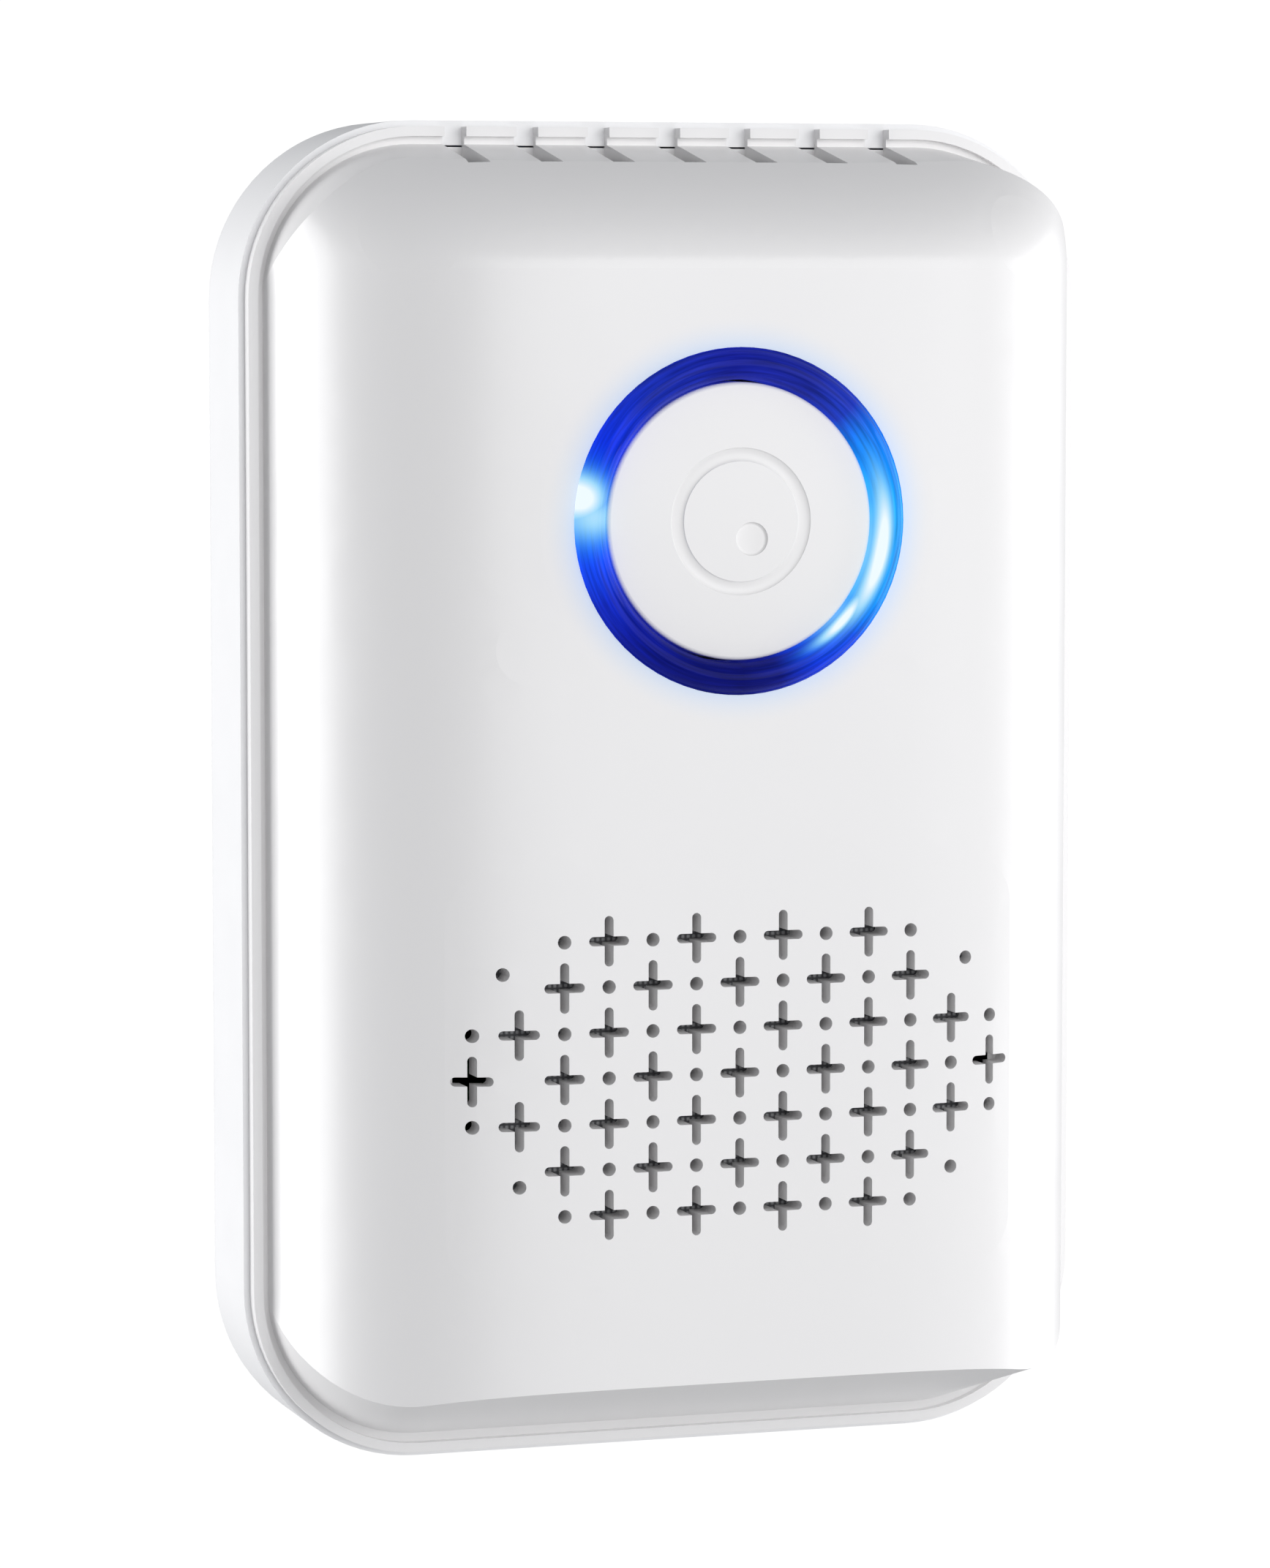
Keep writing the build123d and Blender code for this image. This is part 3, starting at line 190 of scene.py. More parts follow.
@dataclass(frozen=True)
class MouldedPlastic:
    """Injection-moulded plastic: one colour right through, with the skin its tool left.

    A glossy tool leaves a long, shallow waviness that bends reflections, and a
    spark-eroded one leaves fine grain. The gloss varies a little from patch to patch.
    """

    name: str
    colour: str
    sheen: Sheen
    wave_mm: float = 2.5
    depth_mm: float = 0.0015
    ior: float = 1.53
    patch_mm: float = 6.0
    patchiness: float = 0.1

    def material(self) -> bpy.types.Material:
        """Make the finish's node material.

        Returns:
            The material.
        """
        material, tree, shader, points = new_material(self.name)
        skin, patches = (
            add_node(
                tree,
                "ShaderNodeTexNoise",
                values={"Scale": 1 / (size_mm * MM), "Detail": 2.0},
                links={"Vector": points},
            )
            for size_mm in (self.wave_mm, self.patch_mm)
        )
        rough = add_node(
            tree,
            "ShaderNodeMapRange",
            values={
                "To Min": self.sheen.value * (1 - self.patchiness),
                "To Max": self.sheen.value * (1 + self.patchiness),
            },
            links={"Value": patches.outputs["Fac"]},
        )
        dents = add_node(
            tree,
            "ShaderNodeBump",
            values={"Strength": 1.0, "Distance": self.depth_mm * MM},
            links={"Height": skin.outputs["Fac"]},
        )
        set_inputs(
            tree,
            shader,
            {"Base Color": linear(self.colour), "IOR": self.ior},
            {"Roughness": rough.outputs["Result"], "Normal": dents.outputs["Normal"]},
        )
        self.tint(tree, shader, points)
        return material

    def tint(self, tree: Tree, shader: Node, points: Socket) -> None:
        """Leave the colour as moulded."""


@dataclass(frozen=True)
class RingGlowPaintedPlastic(MouldedPlastic):
    """Gloss white ABS round a lit ring, with a painted glow of the ring's light tinting its colour near the
    ring.
    """

    centre_z: float = 0.0
    ring_r: float = 0.0
    reach_mm: float = 2.6
    # colour of the painted glow from the ring
    glow: str = "DCEBFF"
    fade_power: float = 1.8

    def tint(self, tree: Tree, shader: Node, points: Socket) -> None:
        """Paint the ring's glow into the plastic's colour: painted light that fades over reach_mm from the
        ring's edge.

        Share of glow = (1 - distance / reach) to the fade's power, with the distance
        counted outwards from the ring's edge.

        Args:
            tree: The material's node tree.
            shader: Its Principled node.
            points: The piece's coordinates.
        """
        away = add_node(
            tree,
            "ShaderNodeVectorMath",
            {"operation": "MULTIPLY_ADD"},
            {1: (1, 0, 1), 2: (0, 0, -self.centre_z)},
            {0: points},
        )
        radius = add_node(tree, "ShaderNodeVectorMath", {"operation": "LENGTH"}, links={0: away.outputs[0]})
        share = add_node(
            tree,
            "ShaderNodeMapRange",
            values={
                "From Min": self.ring_r,
                "From Max": self.ring_r + self.reach_mm * MM,
                "To Min": 1.0,
                "To Max": 0.0,
            },
            links={"Value": radius.outputs["Value"]},
        )
        painted_glow_share = add_node(
            tree,
            "ShaderNodeMath",
            {"operation": "POWER"},
            {1: self.fade_power},
            {0: share.outputs["Result"]},
        )
        # the painted glow of the ring, mixed into the base colour
        mixed = add_node(
            tree,
            "ShaderNodeMix",
            {"data_type": "RGBA"},
            {6: linear(self.colour), 7: linear(self.glow)},
            {0: painted_glow_share.outputs[0]},
        )
        set_inputs(tree, shader, links={"Base Color": mixed.outputs[2]})


@dataclass(frozen=True)
class LampAndHighlight:
    """One white spot on the ring, as a bell round it and one across it: where a lamp shows through, with a
    painted highlight of the side lights over it.

    Turns count from 0 at the bottom through 0.25 at the left, and across from 0 at the
    ring's inner edge to 1 at its outer edge.
    """

    strength: float
    turn: float
    turn_width: float
    across: float
    across_width: float


@dataclass(frozen=True)
class LitDiffuser:
    """Blue polycarbonate ring, lit from behind, with painted highlights of the side lights in its glow.

    Light comes through strongly at the right, less at the left, and hardly at all at
    the top and bottom, where the deep blue of the plastic itself shows.
    """

    name: str
    centre_z: float
    middle_r: float
    half_width: float
    plastic: str = "02031A"
    glare_and_highlight_halo: str = "3CC4FA"
    glare_and_highlight: str = "F0FCFF"
    glare_and_highlight_halo_gain: float = 1.7
    glare_and_highlight_power: float = 1.8
    streaks_round: float = 16
    streaks_across: float = 11
    streak_dark: float = 0.1
    streak_light: float = 1.9
    roughness: float = 0.1
    ior: float = 1.58
    # real gloss kept faint: the ring's highlights are painted into its glow instead
    gloss: float = 0.04
    # turns: 0 and 1 are the bottom, 0.25 the left, 0.5 the top and 0.75 the right
    stops: tuple[tuple[float, str], ...] = (
        (0.0, "0B1064"),
        (0.07, "0A1270"),
        (0.13, "0C1A96"),
        (0.17, "122ABC"),
        (0.21, "1648F0"),
        (0.25, "1A6CF5"),
        (0.29, "1450EC"),
        (0.33, "0D31DC"),
        (0.40, "182CA8"),
        (0.49, "141E92"),
        (0.58, "1A2690"),
        (0.625, "2038B8"),
        (0.665, "0E7CF5"),
        (0.75, "0AA2FF"),
        (0.83, "0F94FA"),
        (0.875, "184CE0"),
        (0.92, "0F36D6"),
        (0.96, "121A80"),
        (1.0, "0B1064"),
    )
    # two spots at the left and two along the inner edge at the right, each a lamp's glow with a painted
    # highlight of the side lights
    lamps_and_highlights: tuple[LampAndHighlight, ...] = (
        LampAndHighlight(1.3, 0.274, 0.020, 1.0, 0.75),
        LampAndHighlight(0.62, 0.256, 0.022, 0.5, 0.9),
        LampAndHighlight(1.3, 0.785, 0.072, 0.27, 0.24),
        LampAndHighlight(1.2, 0.870, 0.036, 0.16, 0.14),
    )

    def material(self) -> bpy.types.Material:
        """Make the finish's node material.

        Returns:
            The material.
        """
        material, tree, shader, points = new_material(self.name)
        turn, across = self.places(tree, points)
        around = add_node(tree, "ShaderNodeValToRGB", {"stops": self.stops}, links={"Fac": turn})
        colour = self.streaked(tree, around.outputs["Color"], turn, across)
        glare_and_highlight = self.lamp_glare_and_highlights(tree, turn, across)
        # mix a cyan halo and then white into the glow at the spots: lamp glow and painted highlights
        for operation, amount, tone in (
            ("MULTIPLY", self.glare_and_highlight_halo_gain, self.glare_and_highlight_halo),
            ("POWER", self.glare_and_highlight_power, self.glare_and_highlight),
        ):
            share = add_node(
                tree, "ShaderNodeMath", {"operation": operation, "use_clamp": True}, {1: amount}, {0: glare_and_highlight}
            )
            mixed = add_node(
                tree,
                "ShaderNodeMix",
                {"data_type": "RGBA"},
                {7: linear(tone)},
                {0: share.outputs[0], 6: colour},
            )
            colour = mixed.outputs[2]
        constants = {
            "Base Color": linear(self.plastic),
            "Emission Strength": 1.0,
            "Roughness": self.roughness,
            "IOR": self.ior,
            "Specular IOR Level": self.gloss,
        }
        set_inputs(tree, shader, constants, {"Emission Color": colour})
        return material

    def places(self, tree: Tree, points: Socket) -> tuple[Socket, Socket]:
        """Work out where on the ring a point lies.

        Turn = angle about the ring's axis over a full turn, 0 at the bottom.
        Across = (radius - inner radius) / width.

        Args:
            tree: The material's node tree.
            points: The piece's coordinates.

        Returns:
            The turn and the place across, each from 0 to 1.
        """
        away = add_node(
            tree,
            "ShaderNodeVectorMath",
            {"operation": "SUBTRACT"},
            {1: (0, 0, self.centre_z)},
            {0: points},
        )
        parts = add_node(tree, "ShaderNodeSeparateXYZ", links={0: away.outputs[0]})
        angle = add_node(
            tree,
            "ShaderNodeMath",
            {"operation": "ARCTAN2"},
            links={0: parts.outputs["X"], 1: parts.outputs["Z"]},
        )
        turn = add_node(
            tree,
            "ShaderNodeMapRange",
            values={"From Min": -math.pi, "From Max": math.pi},
            links={"Value": angle.outputs[0]},
        )
        flat = add_node(
            tree, "ShaderNodeVectorMath", {"operation": "MULTIPLY"}, {1: (1, 0, 1)}, {0: away.outputs[0]}
        )
        radius = add_node(tree, "ShaderNodeVectorMath", {"operation": "LENGTH"}, links={0: flat.outputs[0]})
        across = add_node(
            tree,
            "ShaderNodeMapRange",
            values={
                "From Min": self.middle_r - self.half_width,
                "From Max": self.middle_r + self.half_width,
            },
            links={"Value": radius.outputs["Value"]},
        )
        return turn.outputs["Result"], across.outputs["Result"]

    def streaked(self, tree: Tree, colour: Socket, turn: Socket, across: Socket) -> Socket:
        """Vary the colour in long streaks that run round the ring: uneven glow through the plastic, with
        painted streaks of reflected side light in it.

        Args:
            tree: The material's node tree.
            colour: The ring's colour.
            turn: Place round the ring from 0 to 1.
            across: Place across the ring from 0 to 1.

        Returns:
            The streaked colour.
        """
        plane = add_node(tree, "ShaderNodeCombineXYZ", links={0: turn, 1: across})
        stretched = add_node(
            tree,
            "ShaderNodeMapping",
            values={"Scale": (self.streaks_round, self.streaks_across, 1)},
            links={"Vector": plane.outputs[0]},
        )
        streak = add_node(
            tree,
            "ShaderNodeTexNoise",
            values={"Scale": 1.0, "Detail": 3.0},
            links={"Vector": stretched.outputs[0]},
        )
        # streaks of glow and painted reflection, from dark to bright
        strength = add_node(
            tree,
            "ShaderNodeMapRange",
            values={"To Min": self.streak_dark, "To Max": self.streak_light},
            links={"Value": streak.outputs["Fac"]},
        )
        varied = add_node(
            tree,
            "ShaderNodeVectorMath",
            {"operation": "MULTIPLY"},
            links={0: colour, 1: strength.outputs["Result"]},
        )
        return varied.outputs[0]

    def lamp_glare_and_highlights(self, tree: Tree, turn: Socket, across: Socket) -> Socket:
        """Make the white spots where the lamps show through, with painted highlights of the side lights
        over them.

        Each lamp's share = strength * exp(-((turn - t) / w)^2 - ((across - a) / v)^2),
        and the largest share counts.

        Args:
            tree: The material's node tree.
            turn: Place round the ring from 0 to 1.
            across: Place across the ring from 0 to 1.

        Returns:
            The white share.
        """
        total = None
        for lamp_and_highlight in self.lamps_and_highlights:
            squares = []
            for source, middle, width in (
                (turn, lamp_and_highlight.turn, lamp_and_highlight.turn_width),
                (across, lamp_and_highlight.across, lamp_and_highlight.across_width),
            ):
                scaled = add_node(
                    tree,
                    "ShaderNodeMath",
                    {"operation": "MULTIPLY_ADD"},
                    {1: 1 / width, 2: -middle / width},
                    {0: source},
                ).outputs[0]
                square = add_node(
                    tree, "ShaderNodeMath", {"operation": "MULTIPLY"}, links={0: scaled, 1: scaled}
                )
                squares.append(square.outputs[0])
            both = add_node(tree, "ShaderNodeMath", {"operation": "ADD"}, links=dict(enumerate(squares)))
            negative = add_node(
                tree, "ShaderNodeMath", {"operation": "MULTIPLY"}, {1: -1.0}, {0: both.outputs[0]}
            )
            bell = add_node(
                tree, "ShaderNodeMath", {"operation": "EXPONENT"}, links={0: negative.outputs[0]}
            )
            spot = add_node(
                tree, "ShaderNodeMath", {"operation": "MULTIPLY"}, {1: lamp_and_highlight.strength}, {0: bell.outputs[0]}
            )
            if total is not None:
                spot = add_node(
                    tree,
                    "ShaderNodeMath",
                    {"operation": "MAXIMUM"},
                    links={0: total.outputs[0], 1: spot.outputs[0]},
                )
            total = spot
        return total.outputs[0]


@dataclass(frozen=True)
class WorkedMetal:
    """Bare or plated metal with the fine streaks or grain of how it was made."""

    name: str
    colour: str
    roughness: float
    streak_mm: tuple[float, float, float] = (0.4, 0.4, 0.4)
    depth_mm: float = 0.002
    unevenness: float = 0.3

    def material(self) -> bpy.types.Material:
        """Make the finish's node material.

        Returns:
            The material.
        """
        material, tree, shader, points = new_material(self.name)
        stretched = add_node(
            tree,
            "ShaderNodeMapping",
            values={"Scale": tuple(1 / (size * MM) for size in self.streak_mm)},
            links={"Vector": points},
        )
        grain = add_node(
            tree,
            "ShaderNodeTexNoise",
            values={"Scale": 1.0, "Detail": 3.0},
            links={"Vector": stretched.outputs["Vector"]},
        )
        rough = add_node(
            tree,
            "ShaderNodeMapRange",
            values={
                "To Min": self.roughness * (1 - self.unevenness),
                "To Max": self.roughness * (1 + self.unevenness),
            },
            links={"Value": grain.outputs["Fac"]},
        )
        dents = add_node(
            tree,
            "ShaderNodeBump",
            values={"Strength": 1.0, "Distance": self.depth_mm * MM},
            links={"Height": grain.outputs["Fac"]},
        )
        set_inputs(
            tree,
            shader,
            {"Base Color": linear(self.colour), "Metallic": 1.0},
            {"Roughness": rough.outputs["Result"], "Normal": dents.outputs["Normal"]},
        )
        return material


@dataclass(frozen=True)
class WovenCloth:
    """Plain-woven acoustic cloth: two sets of threads that pass over and under each other.

    Painted shade in the gaps between threads gives the grille holes their grey, speckled floor.
    """

    name: str
    colour: str
    thread_gap_shade: str
    thread_mm: float = 0.45
    depth_mm: float = 0.12

    def material(self) -> bpy.types.Material:
        """Make the finish's node material.

        Height = wave across the warp * wave across the weft, each of one thread's pitch.

        Returns:
            The material.
        """
        material, tree, shader, points = new_material(self.name)
        warp, weft = (
            add_node(
                tree,
                "ShaderNodeTexWave",
                {"bands_direction": direction, "wave_type": "BANDS"},
                {"Scale": wave_scale(self.thread_mm), "Distortion": 0.4, "Detail": 1.0},
                {"Vector": points},
            )
            for direction in ("X", "Z")
        )
        weave = add_node(
            tree,
            "ShaderNodeMath",
            {"operation": "MULTIPLY"},
            links={0: warp.outputs["Fac"], 1: weft.outputs["Fac"]},
        )
        # painted shade where both threads dip
        tone = add_node(
            tree,
            "ShaderNodeValToRGB",
            {"stops": ((0.0, self.thread_gap_shade), (0.7, self.colour))},
            links={"Fac": weave.outputs[0]},
        )
        dents = add_node(
            tree,
            "ShaderNodeBump",
            values={"Strength": 1.0, "Distance": self.depth_mm * MM},
            links={"Height": weave.outputs[0]},
        )
        set_inputs(
            tree,
            shader,
            {"Roughness": 0.9, "Sheen Weight": 0.2},
            {"Base Color": tone.outputs["Color"], "Normal": dents.outputs["Normal"]},
        )
        return material


def wave_scale(pitch_mm: float) -> float:
    """Scale at which a wave texture, of phase 20 * scale * distance, repeats every pitch_mm."""
    return math.pi / (10 * pitch_mm * MM)


@dataclass(frozen=True)
class CircuitBoard:
    """Glass-epoxy board under green solder mask: copper tracks show through as lighter lines."""

    name: str
    mask: str = "0F4A26"
    track: str = "1C6E3A"
    track_mm: float = 2.2
    depth_mm: float = 0.03

    def material(self) -> bpy.types.Material:
        """Make the finish's node material.

        Returns:
            The material.
        """
        material, tree, shader, points = new_material(self.name)
        turned = add_node(
            tree, "ShaderNodeMapping", values={"Rotation": (math.pi / 2, 0, 0)}, links={"Vector": points}
        )
        tracks = add_node(
            tree,
            "ShaderNodeTexBrick",
            {"offset": 0.37, "squash": 0.8},
            {
                "Scale": 1 / (self.track_mm * MM),
                "Mortar Size": 0.09,
                "Color1": linear(self.mask),
                "Color2": linear(self.mask),
                "Mortar": linear(self.track),
            },
            {"Vector": turned.outputs["Vector"]},
        )
        dents = add_node(
            tree,
            "ShaderNodeBump",
            values={"Strength": 1.0, "Distance": self.depth_mm * MM},
            links={"Height": tracks.outputs["Fac"]},
        )
        set_inputs(
            tree,
            shader,
            {"Roughness": 0.3},
            {"Base Color": tracks.outputs["Color"], "Normal": dents.outputs["Normal"]},
        )
        return material


@dataclass(frozen=True)
class WoundWire:
    """Enamelled copper wire wound in close turns, one wire's width apart."""

    name: str
    wire: str
    turn_gap_shade: str
    turn_mm: float = 0.35
    depth_mm: float = 0.1

    def material(self) -> bpy.types.Material:
        """Make the finish's node material.

        Returns:
            The material.
        """
        material, tree, shader, points = new_material(self.name)
        turns = add_node(
            tree,
            "ShaderNodeTexWave",
            {"bands_direction": "Y", "wave_type": "BANDS"},
            {"Scale": wave_scale(self.turn_mm), "Distortion": 0.2},
            {"Vector": points},
        )
        # painted shade in the grooves between turns
        tone = add_node(
            tree,
            "ShaderNodeValToRGB",
            {"stops": ((0.0, self.turn_gap_shade), (0.5, self.wire))},
            links={"Fac": turns.outputs["Fac"]},
        )
        dents = add_node(
            tree,
            "ShaderNodeBump",
            values={"Strength": 1.0, "Distance": self.depth_mm * MM},
            links={"Height": turns.outputs["Fac"]},
        )
        set_inputs(
            tree,
            shader,
            {"Metallic": 1.0, "Roughness": 0.28},
            {"Base Color": tone.outputs["Color"], "Normal": dents.outputs["Normal"]},
        )
        return material


@dataclass(frozen=True)
class LampPackage:
    """White LED package whose silicone lens glows blue."""

    name: str
    body: str = "D9DCC0"
    glow: str = "2A6BFF"
    grain_mm: float = 0.8
    depth_mm: float = 0.01

    def material(self) -> bpy.types.Material:
        """Make the finish's node material.

        Returns:
            The material.
        """
        material, tree, shader, points = new_material(self.name)
        grain = add_node(
            tree,
            "ShaderNodeTexNoise",
            values={"Scale": 1 / (self.grain_mm * MM), "Detail": 2.0},
            links={"Vector": points},
        )
        dents = add_node(
            tree,
            "ShaderNodeBump",
            values={"Strength": 1.0, "Distance": self.depth_mm * MM},
            links={"Height": grain.outputs["Fac"]},
        )
        constants = {
            "Base Color": linear(self.body),
            "Emission Color": linear(self.glow),
            "Emission Strength": 3.0,
            "Roughness": 0.25,
        }
        set_inputs(tree, shader, constants, {"Normal": dents.outputs["Normal"]})
        return material


def dress(finishes: dict[str, Finish]) -> None:
    """Give the CAD nodes of some material slots their finishes.

    Args:
        finishes: Material slots, and the finish of each.
    """
    for slot, finish in finishes.items():
        material = finish.material()
        for name, node in frame["nodes"].items():
            if SLOTS[name] == slot:
                node.data.materials.clear()
                node.data.materials.append(material)
                log.info("%s wears %s", name, material.name)


def add_mesh(name: str, points: np.ndarray, faces: np.ndarray, smooth: bool = True) -> bpy.types.Object:
    """Put arrays of points and faces into a new mesh object at the origin.

    Args:
        name: The piece's name.
        points: Array of N points, in metres.
        faces: Array of M quads, as point numbers.
        smooth: Whether faces shade smoothly.

    Returns:
        The new object.
    """
    mesh = bpy.data.meshes.new(name)
    mesh.from_pydata(points.tolist(), [], faces.tolist())
    mesh.polygons.foreach_set("use_smooth", np.full(len(mesh.polygons), smooth))
    mesh.update()
    piece = bpy.data.objects.new(name, mesh)
    bpy.context.scene.collection.objects.link(piece)
    return piece


def turned_surface(
    radii: np.ndarray, heights: np.ndarray, centre_z: float, steps: int
) -> tuple[np.ndarray, np.ndarray]:
    """Turn a closed profile about an axis along Y through z = centre_z.

    Point (i, j) = (r_i cos t_j, y_i, centre_z + r_i sin t_j), with t_j = 2 pi j / steps.

    Args:
        radii: Radius of each profile point.
        heights: Y of each profile point.
        centre_z: Z of the axis.
        steps: Points round the axis.

    Returns:
        Points and quads, which close both ways.
    """
    turn = np.linspace(0, 2 * math.pi, steps, endpoint=False)
    x = radii[:, None] * np.cos(turn)
    z = centre_z + radii[:, None] * np.sin(turn)
    y = np.broadcast_to(heights[:, None], x.shape)
    points = np.stack([x, y, z], axis=-1).reshape(-1, 3)
    row = np.arange(len(radii))[:, None] * steps
    next_row = np.roll(np.arange(len(radii)), -1)[:, None] * steps
    here = np.arange(steps)[None, :]
    after = (here + 1) % steps
    faces = np.stack([row + here, next_row + here, next_row + after, row + after], axis=-1)
    return points, faces.reshape(-1, 4)


@dataclass
class LitRing:
    """Domed translucent ring round the button, with its flange and skirt, and its lamps."""

    steps: int = 192
    crown_points: int = 40
    crown_power: float = 2.4
    width_mm: float = 2.5
    crown_mm: float = 1.0
    edge_mm: float = 1.3
    flange_step_mm: float = 1.8
    flange_mm: float = 1.0
    seat_mm: float = 3.3
    skirt_mm: tuple[float, float] = (0.75, 1.65)
    sharp_degrees: float = 35.0
    centre_z: float = field(init=False)
    outer_r: float = field(init=False)
    front: float = field(init=False)
    back: float = field(init=False)

    def __post_init__(self) -> None:
        """Take the ring's place and radius from its CAD node."""
        low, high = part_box("light_ring")
        self.centre_z = (low.z + high.z) / 2
        self.outer_r = (high.x - low.x) / 2 - self.flange_step_mm * MM
        self.front = low.y
        self.back = high.y

    def profile(self) -> tuple[np.ndarray, np.ndarray]:
        """Work out the closed profile, from the crown's inner edge outwards and round the back.

        Crown: y = front + crown * |s| to the crown's power, with s from -1 at the inner
        edge to 1 at the outer. The flange and the skirt follow as straight runs.

        Returns:
            Radii and heights of the profile's points.
        """
        inner = self.outer_r - self.width_mm * MM
        middle, half = (inner + self.outer_r) / 2, self.width_mm * MM / 2
        share = np.linspace(-1, 1, self.crown_points)
        radii = middle + half * share
        heights = self.front + self.crown_mm * MM * np.abs(share) ** self.crown_power
        flange = self.outer_r + self.flange_step_mm * MM
        edge = self.front + self.edge_mm * MM
        seat = self.front + self.seat_mm * MM
        flange_back = seat + self.flange_mm * MM
        skirt_in, skirt_out = (middle + reach * MM for reach in self.skirt_mm)
        runs = np.array(
            [
                (self.outer_r, edge),
                (self.outer_r, seat),
                (flange, seat),
                (flange, flange_back),
                (skirt_out, flange_back),
                (skirt_out, self.back),
                (skirt_in, self.back),
                (skirt_in, flange_back),
                (inner, flange_back),
                (inner, edge),
            ]
        )
        return np.r_[radii, runs[:, 0]], np.r_[heights, runs[:, 1]]

    def build(self) -> None:
        """Make the ring, stand it for its CAD node, and dress the parts that light it."""
        radii, heights = self.profile()
        points, faces = turned_surface(radii, heights, self.centre_z, self.steps)
        ring = add_mesh("lit_ring", points, faces)
        ring.data.set_sharp_from_angle(angle=math.radians(self.sharp_degrees))
        half_width = self.width_mm * MM / 2
        # deep blue that runs white where a lamp sits close behind it, with painted highlights of the side
        # lights over those white spots
        finish = LitDiffuser(
            "lit_blue_polycarbonate", self.centre_z, self.outer_r - half_width, half_width
        )
        ring.data.materials.append(finish.material())
        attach(ring, Body.CASING.value)
        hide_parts("light_ring")
        log.info("%s: %d faces on %s", ring.name, len(ring.data.polygons), Body.CASING.value)
        dress(
            {
                # scatters the lamps' light, so it has no gloss
                "reflector_plastic": MouldedPlastic(
                    "matt_white_abs", "EDEDEB", Sheen.SPARK_ERODED, 0.4, 0.01
                ),
                # small blue glow behind the ring
                "led_package": LampPackage("glowing_led_package"),
            }
        )


@dataclass
class Casing:
    """Front and rear covers, and the screws that hold them."""

    ring: LitRing
    cover_white: str = "F4F3F3"
    rear_white: str = "FAFAFB"

    def build(self) -> None:
        """Dress the covers and screws."""
        cover = RingGlowPaintedPlastic(
            "gloss_white_abs_painted_ring_glow",
            self.cover_white,
            Sheen.SOFT_GLOSS,
            centre_z=self.ring.centre_z,
            ring_r=self.ring.outer_r,
        )
        dress(
            {
                # wide soft highlights down both sides, and a painted glow of the ring's light close round
                # it
                "cover_abs": cover,
                # a shade duller, so that the side strip reads as one even band
                "rear_abs": MouldedPlastic("satin_white_abs", self.rear_white, Sheen.SATIN),
                # pale grey glint down the screw holes
                "screw_steel": WorkedMetal("zinc_plated_steel", "BFC2C4", 0.35, (0.3, 0.3, 0.3)),
            }
        )


@dataclass
class PushButton:
    """Cap inside the ring, and the nylon plunger under it."""

    cap_white: str = "F4F3F3"

    def build(self) -> None:
        """Dress the cap and the plunger."""
        dress(
            {
                # the cover's own gloss, so the cap reads by its gap and its groove
                "button_abs": MouldedPlastic("gloss_white_abs", self.cap_white, Sheen.SOFT_GLOSS),
                # nylon stays slightly cream, with a fine waxy skin
                "white_plastic": MouldedPlastic("natural_nylon", "E6E3D8", Sheen.SATIN, 0.6, 0.006),
            }
        )


@dataclass
class SpeakerUnit:
    """Piezo speaker behind the grille, with its cloth, gasket and cone."""

    thread_mm: float = 0.45

    def build(self) -> None:
        """Dress the speaker's parts."""
        dress(
            {
                # grey floor of the grille holes, speckled by painted shade in the gaps between threads
                "grille_fabric": WovenCloth("grey_acoustic_cloth", "A6A7AA", "4A4B4E", self.thread_mm),
                # near-black with no highlight
                "foam": MouldedPlastic("closed_cell_foam", "101012", Sheen.DULL, 0.3, 0.08),
                # soft black with a faint fibre
                "cone_fabric": MouldedPlastic("pressed_black_paper", "121214", Sheen.DULL, 0.35, 0.05),
                # rolling leaves long streaks one way
                "brass": WorkedMetal("rolled_brass", "D9B45C", 0.3, (2.0, 0.2, 0.1)),
            }
        )


@dataclass
class MainBoard:
    """Circuit boards and everything soldered to them."""

    wire_mm: float = 0.35

    def build(self) -> None:
        """Dress the boards and their components."""
        dress(
            {
                # dark glossy green with lighter lines over the copper
                "circuit_board": CircuitBoard("green_solder_mask"),
                # dull black with fine grain
                "black_plastic": MouldedPlastic("black_nylon", "0B0B0C", Sheen.SPARK_ERODED, 0.4, 0.01),
                # strong yellow block, the brightest thing on the board
                "capacitor_box": MouldedPlastic("yellow_polyester_box", "D9A516", Sheen.SATIN),
                # blue-black with slow ripples where it shrank
                "capacitor_sleeve": MouldedPlastic("black_shrink_sleeve", "0D1220", Sheen.SATIN, 3.0, 0.02),
                # dipping leaves a lumpy coat
                "varistor_coat": MouldedPlastic("blue_dipped_epoxy", "1C4FA0", Sheen.SATIN, 1.2, 0.03),
                # muddy green with a sandy grain
                "resistor_coat": MouldedPlastic(
                    "green_flameproof_lacquer", "3F5B45", Sheen.SPARK_ERODED, 0.5, 0.02
                ),
                # deep red, slightly waxy
                "wire_insulation": MouldedPlastic("red_pvc_insulation", "A01818", Sheen.SATIN, 1.0, 0.01),
                # pressed powder, dull and gritty
                "ferrite": MouldedPlastic("sintered_ferrite", "2A2A2D", Sheen.DULL, 0.25, 0.03),
                # orange lines with painted shade in the gaps, turn by turn
                "copper_winding": WoundWire("enamelled_copper_wire", "C8702E", "4A2410", self.wire_mm),
                # small bright silver beads
                "solder": WorkedMetal("reflowed_solder", "C9CBCD", 0.22, (0.8, 0.8, 0.8), 0.01),
            }
        )


